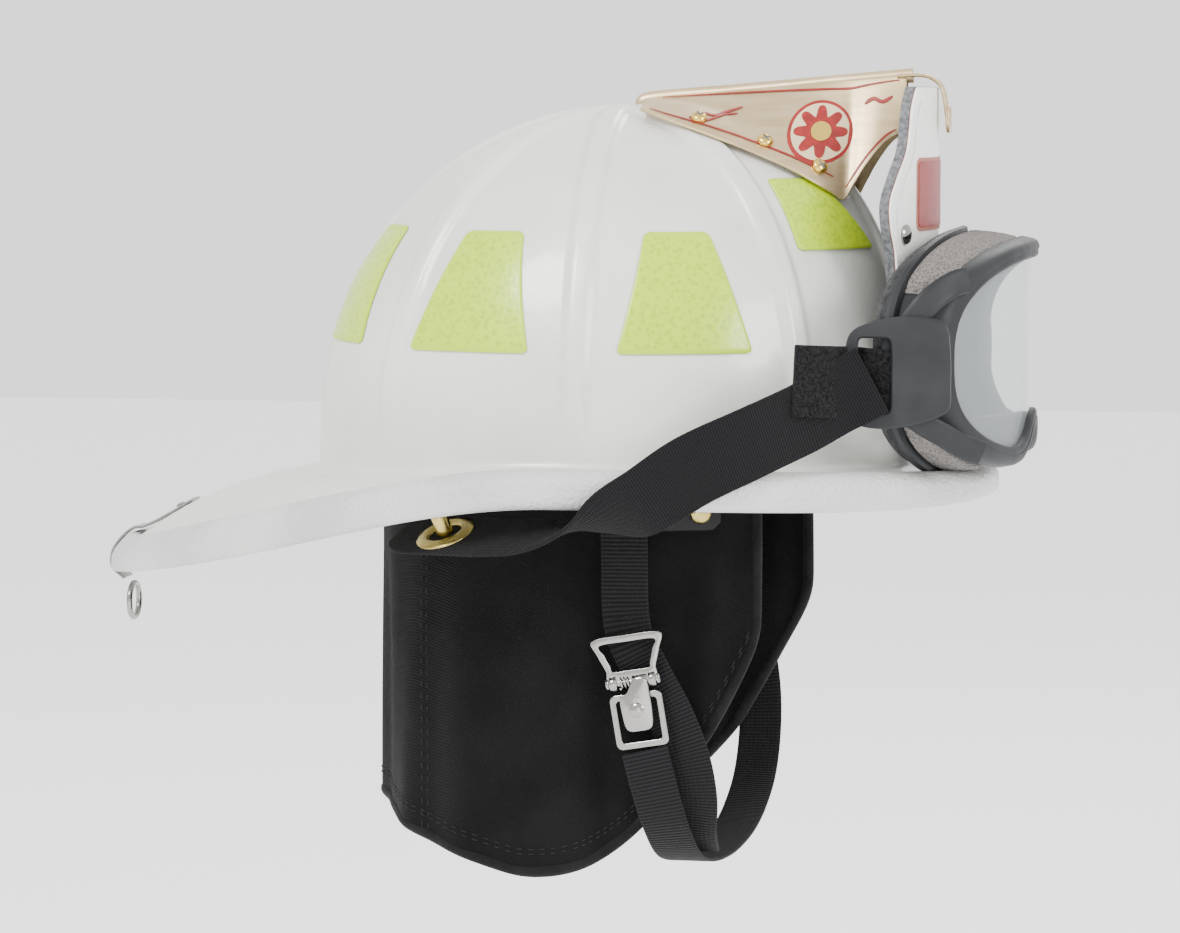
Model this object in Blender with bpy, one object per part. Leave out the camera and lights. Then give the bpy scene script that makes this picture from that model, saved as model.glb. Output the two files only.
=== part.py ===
"""Traditional structural fire helmet with goggles, front piece, chin strap and neck protector.

Metres, +X to the wearer's front, +Y to the wearer's left, +Z up. The origin is at the middle
of the head opening, level with the foot of the dome.
"""
import math

import bmesh
import bpy
from mathutils import Matrix, Vector

# Shell
DOME_HEIGHT = 0.149
DOME_FRONT = 0.121
DOME_REAR = 0.129
DOME_SIDE = 0.108
SHELL_WALL = 0.003
RIB_WIDTH = 0.012
RIB_RAISE = 0.002
RIB_ANGLES = (0, 40, 90, 135, 180, 225, 270, 320)
# Brim
BRIM_FRONT = 0.1613
BRIM_REAR = 0.2215
BRIM_SIDE = 0.146
BRIM_FRONT_DROP = 0.0067
BRIM_SIDE_DROP = 0.0010
BRIM_REAR_DROP = 0.046
TRIM_HALF_SIDE = 0.0080
TRIM_HALF_END = 0.0058
TRIM_DEPTH = 0.010
TRIM_SLOT = 0.0042
# Clearances
TOUCH = 0.0003
FIT = 0.0005
FOAM_GAP = 0.0018
# Impact cap and suspension
FOAM_THICK = 0.014
FOAM_FOOT = 0.007
BAND_FRONT = 0.090
BAND_SIDE = 0.080
BAND_LOW = -0.006
BAND_HIGH = 0.026
BAND_THICK = 0.0016
BAND_END = math.radians(157)
CROWN_STRAP_WIDTH = 0.019
CROWN_STRAP_THICK = 0.0014
CROWN_APEX = 0.112
CROWN_STRAP_STEP = 0.004
CROWN_PAD_RADIUS = 0.030
CROWN_PAD_THICK = 0.006
RATCHET_HEIGHT = 0.014
RATCHET_KNOB_RADIUS = 0.015
HOUSING_HALF = 0.015
PINION_RADIUS = 0.0042
RACK_HEIGHT = 0.0048
RACK_THICK = 0.0034
RACK_REACH = 0.044
# Front piece and its holder
SHIELD_FACE = 0.135
SHIELD_THICK = 0.0055
SHIELD_BEND = 0.155
HOLDER_SHEET = 0.0012
HOLDER_LIFT = 0.0046
RIDGE_REAR_X, RIDGE_REAR_Z = 0.0125, 0.1535
RIDGE_FRONT_X, RIDGE_FRONT_Z = 0.1220, 0.1632
SCREW_RADIUS = 0.0032
# Goggles
GOGGLE_HALF_WIDTH = 0.092
GOGGLE_HALF_HEIGHT = 0.0485
GOGGLE_MIDDLE = 0.0485
GOGGLE_BACK = 0.1370
GOGGLE_BACK_BEND = 0.213
GOGGLE_NOSE = 0.177
GOGGLE_LENS_BEND = 0.1456
GOGGLE_SQUARE = 2.8
PAD_DEPTH = 0.009
LENS_THICK = 0.0016
RIM = 0.009
STRAP_WIDTH = 0.029
STRAP_THICK = 0.0018
# Chin strap and neck protector
CHIN_WIDTH = 0.019
CHIN_THICK = 0.0016
CHIN_PIVOT = Vector((0.020, 0.0, -0.010))
NECK_REAR = 0.100
NECK_SIDE = 0.097
NECK_FRONT_EDGE = 0.070
NECK_TOP = -0.004
NECK_THICK = 0.0024

PALETTE = {
    "shell_white": ((0.80, 0.80, 0.76), 0.35, 0.0),
    "trim_white": ((0.72, 0.72, 0.70), 0.60, 0.0),
    "marker_lime": ((0.62, 0.95, 0.02), 0.25, 0.0),
    "brass": ((0.80, 0.62, 0.32), 0.30, 1.0),
    "leather_white": ((0.78, 0.78, 0.75), 0.45, 0.0),
    "goggle_slate": ((0.045, 0.050, 0.056), 0.50, 0.0),
    "foam_grey": ((0.16, 0.17, 0.18), 0.90, 0.0),
    "lens_clear": ((0.90, 0.92, 0.92), 0.05, 0.0),
    "elastic_black": ((0.012, 0.012, 0.014), 0.85, 0.0),
    "cloth_black": ((0.014, 0.013, 0.014), 0.90, 0.0),
    "nickel": ((0.70, 0.69, 0.66), 0.18, 1.0),
    "foam_black": ((0.03, 0.03, 0.03), 0.80, 0.0),
    "band_black": ((0.02, 0.02, 0.02), 0.45, 0.0),
}


def clear_scene():
    for obj in list(bpy.data.objects):
        bpy.data.objects.remove(obj)


def palette_material(name):
    material = bpy.data.materials.get(name)
    if material is None:
        colour, roughness, metallic = PALETTE[name]
        material = bpy.data.materials.new(name)
        material.use_nodes = True
        shader = material.node_tree.nodes["Principled BSDF"]
        shader.inputs["Base Color"].default_value = (*colour, 1.0)
        shader.inputs["Roughness"].default_value = roughness
        shader.inputs["Metallic"].default_value = metallic
    return material


def add_object(name, bm, material, origin=None, closed=True):
    if closed:
        bmesh.ops.recalc_face_normals(bm, faces=bm.faces)
    mesh = bpy.data.meshes.new(name)
    bm.to_mesh(mesh)
    bm.free()
    mesh.shade_smooth()
    mesh.set_sharp_from_angle(angle=math.radians(35))
    mesh.materials.append(palette_material(material))
    obj = bpy.data.objects.new(name, mesh)
    bpy.context.scene.collection.objects.link(obj)
    if origin is not None:
        mesh.transform(Matrix.Translation(-Vector(origin)))
        obj.location = origin
    return obj


def loft(name, rings, material, closed=False, origin=None):
    """Skin closed loops of equal point count; the ends are capped unless the loft closes on itself."""
    bm = bmesh.new()
    loops = [[bm.verts.new(point) for point in ring] for ring in rings]
    count = len(rings[0])
    pairs = list(zip(loops, loops[1:]))
    if closed:
        pairs.append((loops[-1], loops[0]))
    for low, high in pairs:
        for i in range(count):
            j = (i + 1) % count
            bm.faces.new((low[i], low[j], high[j], high[i]))
    if not closed:
        bm.faces.new(loops[0])
        bm.faces.new(loops[-1])
    return add_object(name, bm, material, origin)


def pole_loft(name, rings, material, first, last):
    """Skin closed loops and close both ends on a single point."""
    bm = bmesh.new()
    loops = [[bm.verts.new(point) for point in ring] for ring in rings]
    count = len(rings[0])
    for low, high in zip(loops, loops[1:]):
        for i in range(count):
            j = (i + 1) % count
            bm.faces.new((low[i], low[j], high[j], high[i]))
    for loop, pole in ((loops[0], bm.verts.new(first)), (loops[-1], bm.verts.new(last))):
        for i in range(count):
            bm.faces.new((loop[i], loop[(i + 1) % count], pole))
    return add_object(name, bm, material)


def sheet(name, rows, thickness, material, origin=None):
    """A strip or panel of even thickness around the middle surface that the rows describe."""
    bm = bmesh.new()
    grid = [[bm.verts.new(point) for point in row] for row in rows]
    for low, high in zip(grid, grid[1:]):
        for i in range(len(low) - 1):
            bm.faces.new((low[i], low[i + 1], high[i + 1], high[i]))
    obj = add_object(name, bm, material, origin, closed=False)
    solid = obj.modifiers.new("thickness", "SOLIDIFY")
    solid.thickness = thickness
    solid.offset = 0.0
    return obj


def box(low, high):
    """Eight corners as a two-ring loft along Z."""
    return [
        [(low[0], low[1], z), (high[0], low[1], z), (high[0], high[1], z), (low[0], high[1], z)]
        for z in (low[2], high[2])
    ]


def turned(profile, matrix, segments=16):
    """Rings of a solid of revolution; the profile lists (radius, height) from foot to head."""
    rings = []
    for radius, height in profile:
        ring = []
        for k in range(segments):
            angle = 2 * math.pi * k / segments
            point = Vector((radius * math.cos(angle), radius * math.sin(angle), height))
            ring.append(matrix @ point)
        rings.append(ring)
    return rings


def aim(location, direction):
    """A matrix that stands +Z along the direction at the location."""
    turn = Vector(direction).to_track_quat("Z", "Y").to_matrix().to_4x4()
    return Matrix.Translation(location) @ turn


def cut(obj, name, rings):
    cutter = loft(name, rings, "nickel")
    cutter.hide_render = True
    cutter.display_type = "WIRE"
    boolean = obj.modifiers.new(name, "BOOLEAN")
    boolean.operation = "DIFFERENCE"
    boolean.solver = "EXACT"
    boolean.object = cutter


def smooth_path(points, steps):
    """Points along a Catmull-Rom curve through the given points."""
    points = [Vector(point) for point in points]
    path = []
    for i in range(len(points) - 1):
        before = points[max(i - 1, 0)]
        after = points[min(i + 2, len(points) - 1)]
        start, end = points[i], points[i + 1]
        for k in range(steps):
            t = k / steps
            path.append(
                0.5 * (2 * start + (end - before) * t
                       + (2 * before - 5 * start + 4 * end - after) * t * t
                       + (3 * start - before - 3 * end + after) * t ** 3))
    path.append(points[-1])
    return path


def half_ellipse(angle, front, rear, side):
    along = front if math.cos(angle) > 0 else rear
    return 1 / math.hypot(math.cos(angle) / along, math.sin(angle) / side)


def smoothstep(t):
    t = min(max(t, 0.0), 1.0)
    return t * t * (3 - 2 * t)


def dome_powers(angle):
    """The crown is fuller over the forehead than at the sides and the back."""
    fullness = max(math.cos(angle), 0.0) ** 6
    return 1.85 + 1.15 * fullness, 2.40 + 0.60 * fullness


def dome_foot(angle):
    """Height at which the dome meets the brim."""
    cosine = math.cos(angle)
    return 0.004 - (0.004 if cosine > 0 else 0.009) * cosine * cosine


def dome_radius(angle, inset=0.0):
    return half_ellipse(angle, DOME_FRONT, DOME_REAR, DOME_SIDE) - inset


def dome_point(angle, turn, inset=0.0):
    """Point on the dome; turn runs from 0 at the crown to 1 at the foot."""
    wide, tall = dome_powers(angle)
    foot = dome_foot(angle)
    radius = dome_radius(angle, inset) * math.sin(turn * math.pi / 2) ** (2 / wide)
    height = foot + (DOME_HEIGHT - inset - foot) * max(math.cos(turn * math.pi / 2), 0) ** (2 / tall)
    return Vector((radius * math.cos(angle), radius * math.sin(angle), height))


def dome_at_height(angle, height, inset=0.0):
    wide, tall = dome_powers(angle)
    foot = dome_foot(angle)
    share = (height - foot) / (DOME_HEIGHT - inset - foot)
    radius = dome_radius(angle, inset) * (1 - share ** tall) ** (1 / wide)
    return Vector((radius * math.cos(angle), radius * math.sin(angle), height))


def dome_top(x, y, inset=0.0):
    """Height of the dome above a point of the plan."""
    angle = math.atan2(y, x)
    wide, tall = dome_powers(angle)
    foot = dome_foot(angle)
    share = 1 - (math.hypot(x, y) / dome_radius(angle, inset)) ** wide
    return foot + (DOME_HEIGHT - inset - foot) * max(share, 0) ** (1 / tall)


def brim_radius(angle):
    return half_ellipse(angle, BRIM_FRONT, BRIM_REAR, BRIM_SIDE)


def brim_edge(angle):
    """Height of the middle of the brim's edge."""
    turn = abs(math.remainder(angle, 2 * math.pi))
    side = BRIM_SIDE_DROP - BRIM_FRONT_DROP
    front = -BRIM_FRONT_DROP - side * math.sin(min(turn, math.pi / 2)) ** 2
    start = math.radians(92)
    fall = smoothstep((turn - start) / (math.pi - start))
    return front - (BRIM_REAR_DROP - BRIM_SIDE_DROP) * fall


def brim_height(angle, radius):
    """Height of the brim's middle surface at a radius."""
    foot = dome_foot(angle) - SHELL_WALL / 2
    share = (radius - dome_radius(angle)) / (brim_radius(angle) - dome_radius(angle))
    return foot + (brim_edge(angle) - foot) * max(share, 0) ** 2


def polar(angle, radius, height):
    return Vector((radius * math.cos(angle), radius * math.sin(angle), height))


def column_angles(radius, between=3):
    """Column angles and rib raise: four columns across each rib and a few between ribs."""
    ribs = [math.radians(angle) for angle in RIB_ANGLES]
    gaps = [(ribs[(i + 1) % len(ribs)] - ribs[i]) % (2 * math.pi) for i in range(len(ribs))]
    half = [min(RIB_WIDTH / 2 / radius, 0.42 * min(gaps[i], gaps[i - 1])) for i in range(len(ribs))]
    columns = []
    for i, rib in enumerate(ribs):
        for share, raised in ((-1.0, 0.0), (-0.6, 1.0), (0.6, 1.0), (1.0, 0.0)):
            columns.append((rib + share * half[i], raised))
        start = rib + half[i]
        end = rib + gaps[i] - half[(i + 1) % len(ribs)]
        for k in range(1, between + 1):
            columns.append((start + (end - start) * k / (between + 1), 0.0))
    return columns


def shell_ring(turn, inset):
    raised_by = 0.0 if inset else RIB_RAISE
    radius = dome_radius(0.0) * max(math.sin(turn * math.pi / 2), 0.05)
    ring = []
    for angle, raised in column_angles(radius):
        fade = 1 - smoothstep((turn - 0.93) / 0.07)
        ring.append(dome_point(angle, turn, inset - raised * raised_by * fade))
    return ring


def brim_ring(share, side):
    """Ring of the brim at a share of its width, on its upper (+1) or under (-1) side."""
    ring = []
    for angle, _ in column_angles(dome_radius(0.0)):
        inner = dome_radius(angle, 0.0 if side > 0 else SHELL_WALL)
        outer = brim_radius(angle) - TRIM_SLOT - TOUCH
        radius = inner + (outer - inner) * share
        ring.append(polar(angle, radius, brim_height(angle, radius) + side * SHELL_WALL / 2))
    return ring


def make_shell():
    outer_turns = (0.07, 0.16, 0.28, 0.40, 0.52, 0.64, 0.76, 0.88, 0.96)
    inner_turns = (0.96, 0.84, 0.68, 0.52, 0.34, 0.14)
    shares = (0.3, 0.6, 0.85, 1.0)
    rings = [shell_ring(turn, 0.0) for turn in outer_turns]
    rings += [brim_ring(share, 1) for share in (0.0, *shares)]
    rings += [brim_ring(share, -1) for share in (*reversed(shares), 0.0)]
    rings += [shell_ring(turn, SHELL_WALL) for turn in inner_turns]
    crown = (0, 0, DOME_HEIGHT + RIB_RAISE)
    pole_loft("shell", rings, "shell_white", crown, (0, 0, DOME_HEIGHT - SHELL_WALL))


def trim_half(angle):
    turn = abs(math.sin(angle))
    return TRIM_HALF_END + (TRIM_HALF_SIDE - TRIM_HALF_END) * smoothstep(turn * 1.3)


def make_trim():
    slot = SHELL_WALL / 2 + FIT
    lip = slot + 0.0016
    rings = []
    for angle, _ in column_angles(dome_radius(0.0)):
        half = trim_half(angle)
        outline = [
            (-TRIM_DEPTH, slot), (-TRIM_DEPTH, lip), (-0.007, 0.85 * half), (-0.003, half),
            (0.0, 0.5 * half), (0.0, -0.5 * half), (-0.003, -half), (-0.007, -0.85 * half),
            (-TRIM_DEPTH, -lip), (-TRIM_DEPTH, -slot), (-TRIM_SLOT, -slot), (-TRIM_SLOT, slot),
        ]
        edge = brim_radius(angle)
        rings.append([
            polar(angle, edge + along, brim_height(angle, edge + along) + up)
            for along, up in outline])
    loft("brim_trim", rings, "trim_white", closed=True)


def make_impact_cap():
    outer = SHELL_WALL + FOAM_GAP
    inner = outer + FOAM_THICK
    columns = 28

    def ring(turn, inset):
        return [dome_point(2 * math.pi * k / columns, turn, inset) for k in range(columns)]

    def foot_ring(inset):
        return [dome_at_height(2 * math.pi * k / columns, FOAM_FOOT, inset) for k in range(columns)]

    turns = (0.10, 0.25, 0.40, 0.55, 0.70, 0.84)
    rings = [ring(turn, outer) for turn in turns] + [foot_ring(outer), foot_ring(inner)]
    rings += [ring(turn, inner) for turn in reversed(turns)]
    top, roof = DOME_HEIGHT - outer, DOME_HEIGHT - inner
    pole_loft("impact_cap", rings, "foam_black", (0, 0, top), (0, 0, roof))


MARKERS = {
    "front": (-21, -25, 0.092, 0.121, 0.048, 0.021),
    "mid_front": (-66, -65, 0.0515, 0.100, 0.056, 0.026),
    "mid_rear": (-116, -116, 0.0515, 0.100, 0.056, 0.026),
    "rear": (-161, -158, 0.0525, 0.101, 0.056, 0.026),
}
MARKER_THICK = 0.0007
MARKER_LIFT = 0.0004


def marker_point(spec, across, up, side, lift):
    """Point of a marker; across runs -1 to 1 and up 0 to 1."""
    foot_angle, head_angle, foot, head, wide, narrow = spec
    height = foot + (head - foot) * up
    centre = math.radians(foot_angle + (head_angle - foot_angle) * up)
    half = (wide + (narrow - wide) * up) / 2
    radius = math.hypot(*dome_at_height(centre, height).xy)
    return dome_at_height(side * (centre + across * half / radius), height, -lift)


def make_markers():
    low, high = MARKER_LIFT, MARKER_LIFT + MARKER_THICK
    steps = 4
    for side, side_name in ((1, "right"), (-1, "left")):
        for place, spec in MARKERS.items():
            rings = []
            for j in range(steps + 1):
                up = j / steps
                front = [marker_point(spec, 2 * k / steps - 1, up, side, high) for k in range(steps + 1)]
                back = [marker_point(spec, 2 * k / steps - 1, up, side, low) for k in range(steps + 1)]
                rings.append(front + back[::-1])
            loft(f"marker_{side_name}_{place}", rings, "marker_lime")


def ridge_height(x):
    share = (x - RIDGE_REAR_X) / (RIDGE_FRONT_X - RIDGE_REAR_X)
    return RIDGE_REAR_Z + (RIDGE_FRONT_Z - RIDGE_REAR_Z) * share


def on_dome(x, y):
    """A holder point that rests on the dome with the holder's lift."""
    return Vector((x, y, dome_top(x, y) + HOLDER_LIFT))


def holder_hem():
    """Lower edge of the right-hand plate, from the back corner to the front of the ridge."""
    seated = [on_dome(x, -y) for x, y in (
        (0.0125, 0.024), (0.024, 0.031), (0.038, 0.036), (0.052, 0.0385), (0.066, 0.0385),
        (0.079, 0.036), (0.088, 0.0325), (0.0945, 0.028))]
    free = [Vector(point) for point in (
        (0.0985, -0.0248, 0.1120), (0.1020, -0.0222, 0.1175), (0.1060, -0.0195, 0.1245),
        (0.1105, -0.0165, 0.1310), (0.1155, -0.0130, 0.1365), (0.1220, -0.0100, 0.1400))]
    return seated + free


RIDGE_HALF = 0.0025
PLATE_SHARES = (0.3, 0.6)
HOOK_HALF = 0.0045


def make_holder():
    """A folded brass saddle with a finger that hooks over the front piece."""
    rows = []
    for low in holder_hem():
        top = Vector((low.x, -RIDGE_HALF, ridge_height(low.x)))
        right = [low] + [plate_point(low, share) for share in PLATE_SHARES] + [top]
        left = [Vector((point.x, -point.y, point.z)) for point in reversed(right)]
        rows.append(right + left)
    bm = bmesh.new()
    grid = [[bm.verts.new(point) for point in row] for row in rows]
    for back, front in zip(grid, grid[1:]):
        for i in range(len(back) - 1):
            bm.faces.new((back[i], back[i + 1], front[i + 1], front[i]))
    ridge = len(PLATE_SHARES) + 1
    edge = (grid[-1][ridge], grid[-1][ridge + 1])
    hook = ((0.128, 0.1632), (0.1330, 0.1618), (0.1362, 0.1585), (0.1378, 0.1530), (0.1390, 0.1450))
    for x, z in hook:
        following = (bm.verts.new((x, -HOOK_HALF, z)), bm.verts.new((x, HOOK_HALF, z)))
        bm.faces.new((edge[0], edge[1], following[1], following[0]))
        edge = following
    holder = add_object("front_holder", bm, "brass", closed=False)
    solid = holder.modifiers.new("thickness", "SOLIDIFY")
    solid.thickness = HOLDER_SHEET
    solid.offset = 0.0


SCREW_STATIONS = ((2, 0.75), (4, 0.65), (6, 0.55))
SCREW_LIFT = 0.0009


def plate_point(low, share):
    """Point part of the way up the plate, held clear of the dome where the dome bulges."""
    point = low.lerp(Vector((low.x, -RIDGE_HALF, ridge_height(low.x))), share)
    point.z = max(point.z, dome_top(point.x, point.y) + HOLDER_LIFT)
    return point


def make_holder_screws():
    hem = holder_hem()
    for side, side_name in ((1, "right"), (-1, "left")):
        for number, (station, share) in enumerate(SCREW_STATIONS, 1):
            low = hem[station]
            middle = plate_point(low, PLATE_SHARES[0])
            normal = (hem[station + 1] - hem[station - 1]).cross(middle - low).normalized()
            if normal.y > 0:
                normal = -normal
            place = low.lerp(middle, share) + normal * (HOLDER_SHEET / 2 + SCREW_LIFT)
            place.y *= side
            normal.y *= side
            head = ((SCREW_RADIUS, 0), (SCREW_RADIUS, 0.0006), (0.0026, 0.0015), (0.0011, 0.0019))
            loft(f"holder_screw_{side_name}_{number}", turned(head, aim(place, normal), 12), "brass")


def shield_x(y):
    return SHIELD_FACE - SHIELD_THICK / 2 - y * y / (2 * SHIELD_BEND)


SHIELD_OUTLINE = (
    (0.158, 0.038), (0.150, 0.043), (0.141, 0.045), (0.132, 0.048), (0.122, 0.056), (0.112, 0.062),
    (0.102, 0.0615), (0.092, 0.058), (0.080, 0.056), (0.066, 0.052), (0.050, 0.045), (0.034, 0.034),
    (0.020, 0.018), (0.012, 0.006))


def make_shield():
    """Leather front piece, bent around the dome, with shoulders and a pointed foot."""
    rows = []
    for height, half in SHIELD_OUTLINE:
        row = []
        for k in range(7):
            y = half * (k / 3 - 1)
            row.append((shield_x(y), y, height))
        rows.append(row)
    sheet("front_shield", rows, SHIELD_THICK, "leather_white")
    for side, side_name in ((1, "right"), (-1, "left")):
        y = -0.050
        face = Vector((shield_x(y) + SHIELD_THICK / 2 + FIT, y * side, 0.0985))
        normal = Vector((1.0, y * side / SHIELD_BEND, 0.0)).normalized()
        head = ((0.0040, 0), (0.0040, 0.0004), (0.0030, 0.0012), (0.0012, 0.0016))
        loft(f"shield_rivet_{side_name}", turned(head, aim(face, normal), 12), "nickel")


def goggle_outline(turn, inset=0.0):
    """Front-view outline (y, z) of the goggles, with the nose arch at the foot."""
    power = 2 / GOGGLE_SQUARE
    cosine, sine = math.cos(turn), math.sin(turn)
    y = (GOGGLE_HALF_WIDTH - inset) * math.copysign(abs(cosine) ** power, cosine)
    z = (GOGGLE_HALF_HEIGHT - inset) * math.copysign(abs(sine) ** power, sine)
    if sine < 0:
        z += 0.016 * math.exp(-(y / 0.020) ** 2)
    return y, GOGGLE_MIDDLE + z


def goggle_back(y, depth=0.0):
    return GOGGLE_BACK + depth - y * y / (2 * GOGGLE_BACK_BEND)


def goggle_front(y, depth=0.0):
    return GOGGLE_NOSE - depth - (GOGGLE_LENS_BEND - math.sqrt(GOGGLE_LENS_BEND ** 2 - y * y))


def goggle_ring(stations, name, material, columns=40):
    """A frame that runs around the goggles; a station is (from back or front, depth, inset)."""
    rings = []
    for k in range(columns):
        turn = 2 * math.pi * k / columns
        ring = []
        for face, depth, inset in stations:
            y, z = goggle_outline(turn, inset)
            x = goggle_back(y, depth) if face == "back" else goggle_front(y, depth)
            ring.append((x, y, z))
        rings.append(ring)
    return loft(name, rings, material, closed=True, origin=(GOGGLE_BACK, 0.0, GOGGLE_MIDDLE))


LENS_SEAT = 0.0028
LENS_LAP = 0.0018
FRAME_WALL = 0.004
OUTRIGGER_GAP = 0.0022


def make_goggles():
    goggle_ring((
        ("back", PAD_DEPTH + TOUCH, 0.0), ("back", PAD_DEPTH + 0.006, 0.0),
        ("front", 0.010, 0.0025), ("front", 0.0, 0.0045), ("front", 0.0, RIM),
        ("front", LENS_SEAT, RIM), ("front", LENS_SEAT, RIM - LENS_LAP - FIT),
        ("front", LENS_SEAT + 0.004, RIM - LENS_LAP - FIT),
        ("back", PAD_DEPTH + TOUCH, FRAME_WALL)), "goggle_frame", "goggle_slate")
    goggle_ring((
        ("back", 0.0, -0.001), ("back", PAD_DEPTH, 0.0),
        ("back", PAD_DEPTH, 0.009), ("back", 0.0, 0.011)), "goggle_face_pad", "foam_black")
    columns, steps = 40, 4
    bm = bmesh.new()
    layers = []
    for depth in (LENS_SEAT + TOUCH, LENS_SEAT + TOUCH + LENS_THICK):
        rings = []
        for j in range(steps):
            ring = []
            for k in range(columns):
                y, z = goggle_outline(2 * math.pi * k / columns, RIM - LENS_LAP)
                share = 1 - j / steps
                y, z = y * share, GOGGLE_MIDDLE + (z - GOGGLE_MIDDLE) * share
                ring.append(bm.verts.new((goggle_front(y, depth), y, z)))
            rings.append(ring)
        middle = bm.verts.new((goggle_front(0.0, depth), 0.0, GOGGLE_MIDDLE))
        for outer, inner in zip(rings, rings[1:]):
            for k in range(columns):
                j = (k + 1) % columns
                bm.faces.new((outer[k], outer[j], inner[j], inner[k]))
        for k in range(columns):
            bm.faces.new((rings[-1][k], rings[-1][(k + 1) % columns], middle))
        layers.append(rings[0])
    for k in range(columns):
        j = (k + 1) % columns
        bm.faces.new((layers[0][k], layers[0][j], layers[1][j], layers[1][k]))
    add_object("goggle_lens", bm, "lens_clear", (GOGGLE_BACK, 0.0, GOGGLE_MIDDLE))
    make_vent_foam()
    make_outriggers()


def make_vent_foam():
    """Filter foam along the top of the frame, over its vents."""
    rings = []
    steps = 10
    for k in range(steps + 1):
        turn = math.radians(35 + 110 * k / steps)
        low_y, low_z = goggle_outline(turn, -TOUCH - 0.0004)
        high_y, high_z = goggle_outline(turn, -0.0030)
        start, end = PAD_DEPTH + 0.001, PAD_DEPTH + 0.0085
        rings.append([
            (goggle_back(low_y, start), low_y, low_z), (goggle_back(low_y, end), low_y, low_z),
            (goggle_back(high_y, end), high_y, high_z), (goggle_back(high_y, start), high_y, high_z)])
    loft("goggle_vent_foam", rings, "foam_grey", origin=(GOGGLE_BACK, 0.0, GOGGLE_MIDDLE))


def make_outriggers():
    """Strap loops that hang on the ends of the goggle frame."""
    outer_y = GOGGLE_HALF_WIDTH + OUTRIGGER_GAP
    for side, side_name in ((-1, "right"), (1, "left")):
        near, far = side * outer_y, side * (outer_y + 0.0042)
        low_y, high_y = min(near, far), max(near, far)
        plan = ((0.108, 0.026), (0.118, 0.0225), (0.134, 0.0235), (0.150, 0.028), (0.150, 0.066),
                (0.134, 0.068), (0.118, 0.0655), (0.108, 0.058))
        rings = [[(x, y, z) for x, z in plan] for y in (low_y, high_y)]
        name = f"goggle_outrigger_{side_name}"
        loop = loft(name, rings, "goggle_slate", origin=(GOGGLE_BACK, 0.0, GOGGLE_MIDDLE))
        slot = box((0.1125, low_y - 0.002, 0.0285), (0.1265, high_y + 0.002, 0.0590))
        cut(loop, f"cut_{name}", slot)


GOGGLE_STRAP_PATH = (
    (0.1195, -0.1034, 0.0425), (0.1080, -0.1066, 0.0362), (0.0940, -0.1170, 0.0280),
    (0.0740, -0.1325, 0.0185), (0.0530, -0.1420, 0.0085), (0.0330, -0.1464, -0.0045),
    (0.0140, -0.1405, -0.0130), (-0.0060, -0.1375, -0.0182), (-0.0280, -0.1290, -0.0205),
    (-0.0510, -0.1160, -0.0215), (-0.0740, -0.1030, -0.0225))
GROMMET_STATION = 9


def strap_up(share, tangent):
    """Direction across the strap: upright at the goggles, rolled under the brim at its end."""
    roll = smoothstep((share - 0.40) / 0.36) * math.radians(112)
    up = Vector((0.0, -math.sin(roll), math.cos(roll)))
    return (up - tangent * up.dot(tangent)).normalized()


def make_goggle_straps():
    path = smooth_path(GOGGLE_STRAP_PATH, 3)
    for side, side_name in ((1, "right"), (-1, "left")):
        rows = []
        for k, point in enumerate(path):
            tangent = (path[min(k + 1, len(path) - 1)] - path[max(k - 1, 0)]).normalized()
            up = strap_up(k / (len(path) - 1), tangent) * STRAP_WIDTH / 2
            rows.append([Vector((p.x, p.y * side, p.z)) for p in (point - up, point, point + up)])
        strap = sheet(f"goggle_strap_{side_name}", rows, STRAP_THICK, "elastic_black")
        hole = turned(((0.0052, -0.01), (0.0052, 0.01)), grommet_matrix(side), 12)
        cut(strap, f"cut_strap_{side_name}", hole)
        make_grommet(side, side_name)


def grommet_matrix(side):
    """Frame of the eyelet: +Z stands on the strap's upper face."""
    before, spot, after = (Vector(GOGGLE_STRAP_PATH[GROMMET_STATION + k]) for k in (-1, 0, 1))
    tangent = (after - before).normalized()
    up = strap_up(GROMMET_STATION / (len(GOGGLE_STRAP_PATH) - 1), tangent)
    normal = tangent.cross(up)
    if normal.z < 0:
        normal = -normal
    normal.y *= side
    spot.y *= side
    return aim(spot, normal)


def make_grommet(side, side_name):
    """Brass eyelet seen on the strap's upper face, and the brass post that it hooks on."""
    matrix = grommet_matrix(side)
    lift = STRAP_THICK / 2 + FIT
    outline = ((0.0125, lift), (0.0125, lift + 0.0005), (0.0095, lift + 0.0016),
               (0.0070, lift + 0.0008), (0.0068, lift))
    rings = []
    for k in range(20):
        angle = 2 * math.pi * k / 20
        rings.append([
            matrix @ Vector((radius * math.cos(angle), radius * math.sin(angle), height))
            for radius, height in outline])
    loft(f"strap_grommet_{side_name}", rings, "brass", closed=True)
    profile = ((0.0075, -0.0046), (0.0075, -0.0026), (0.0034, -0.0022), (0.0034, 0.0100))
    loft(f"strap_post_{side_name}", turned(profile, matrix, 14), "brass")


CHIN_ANCHOR_INSET = 0.0042


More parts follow.
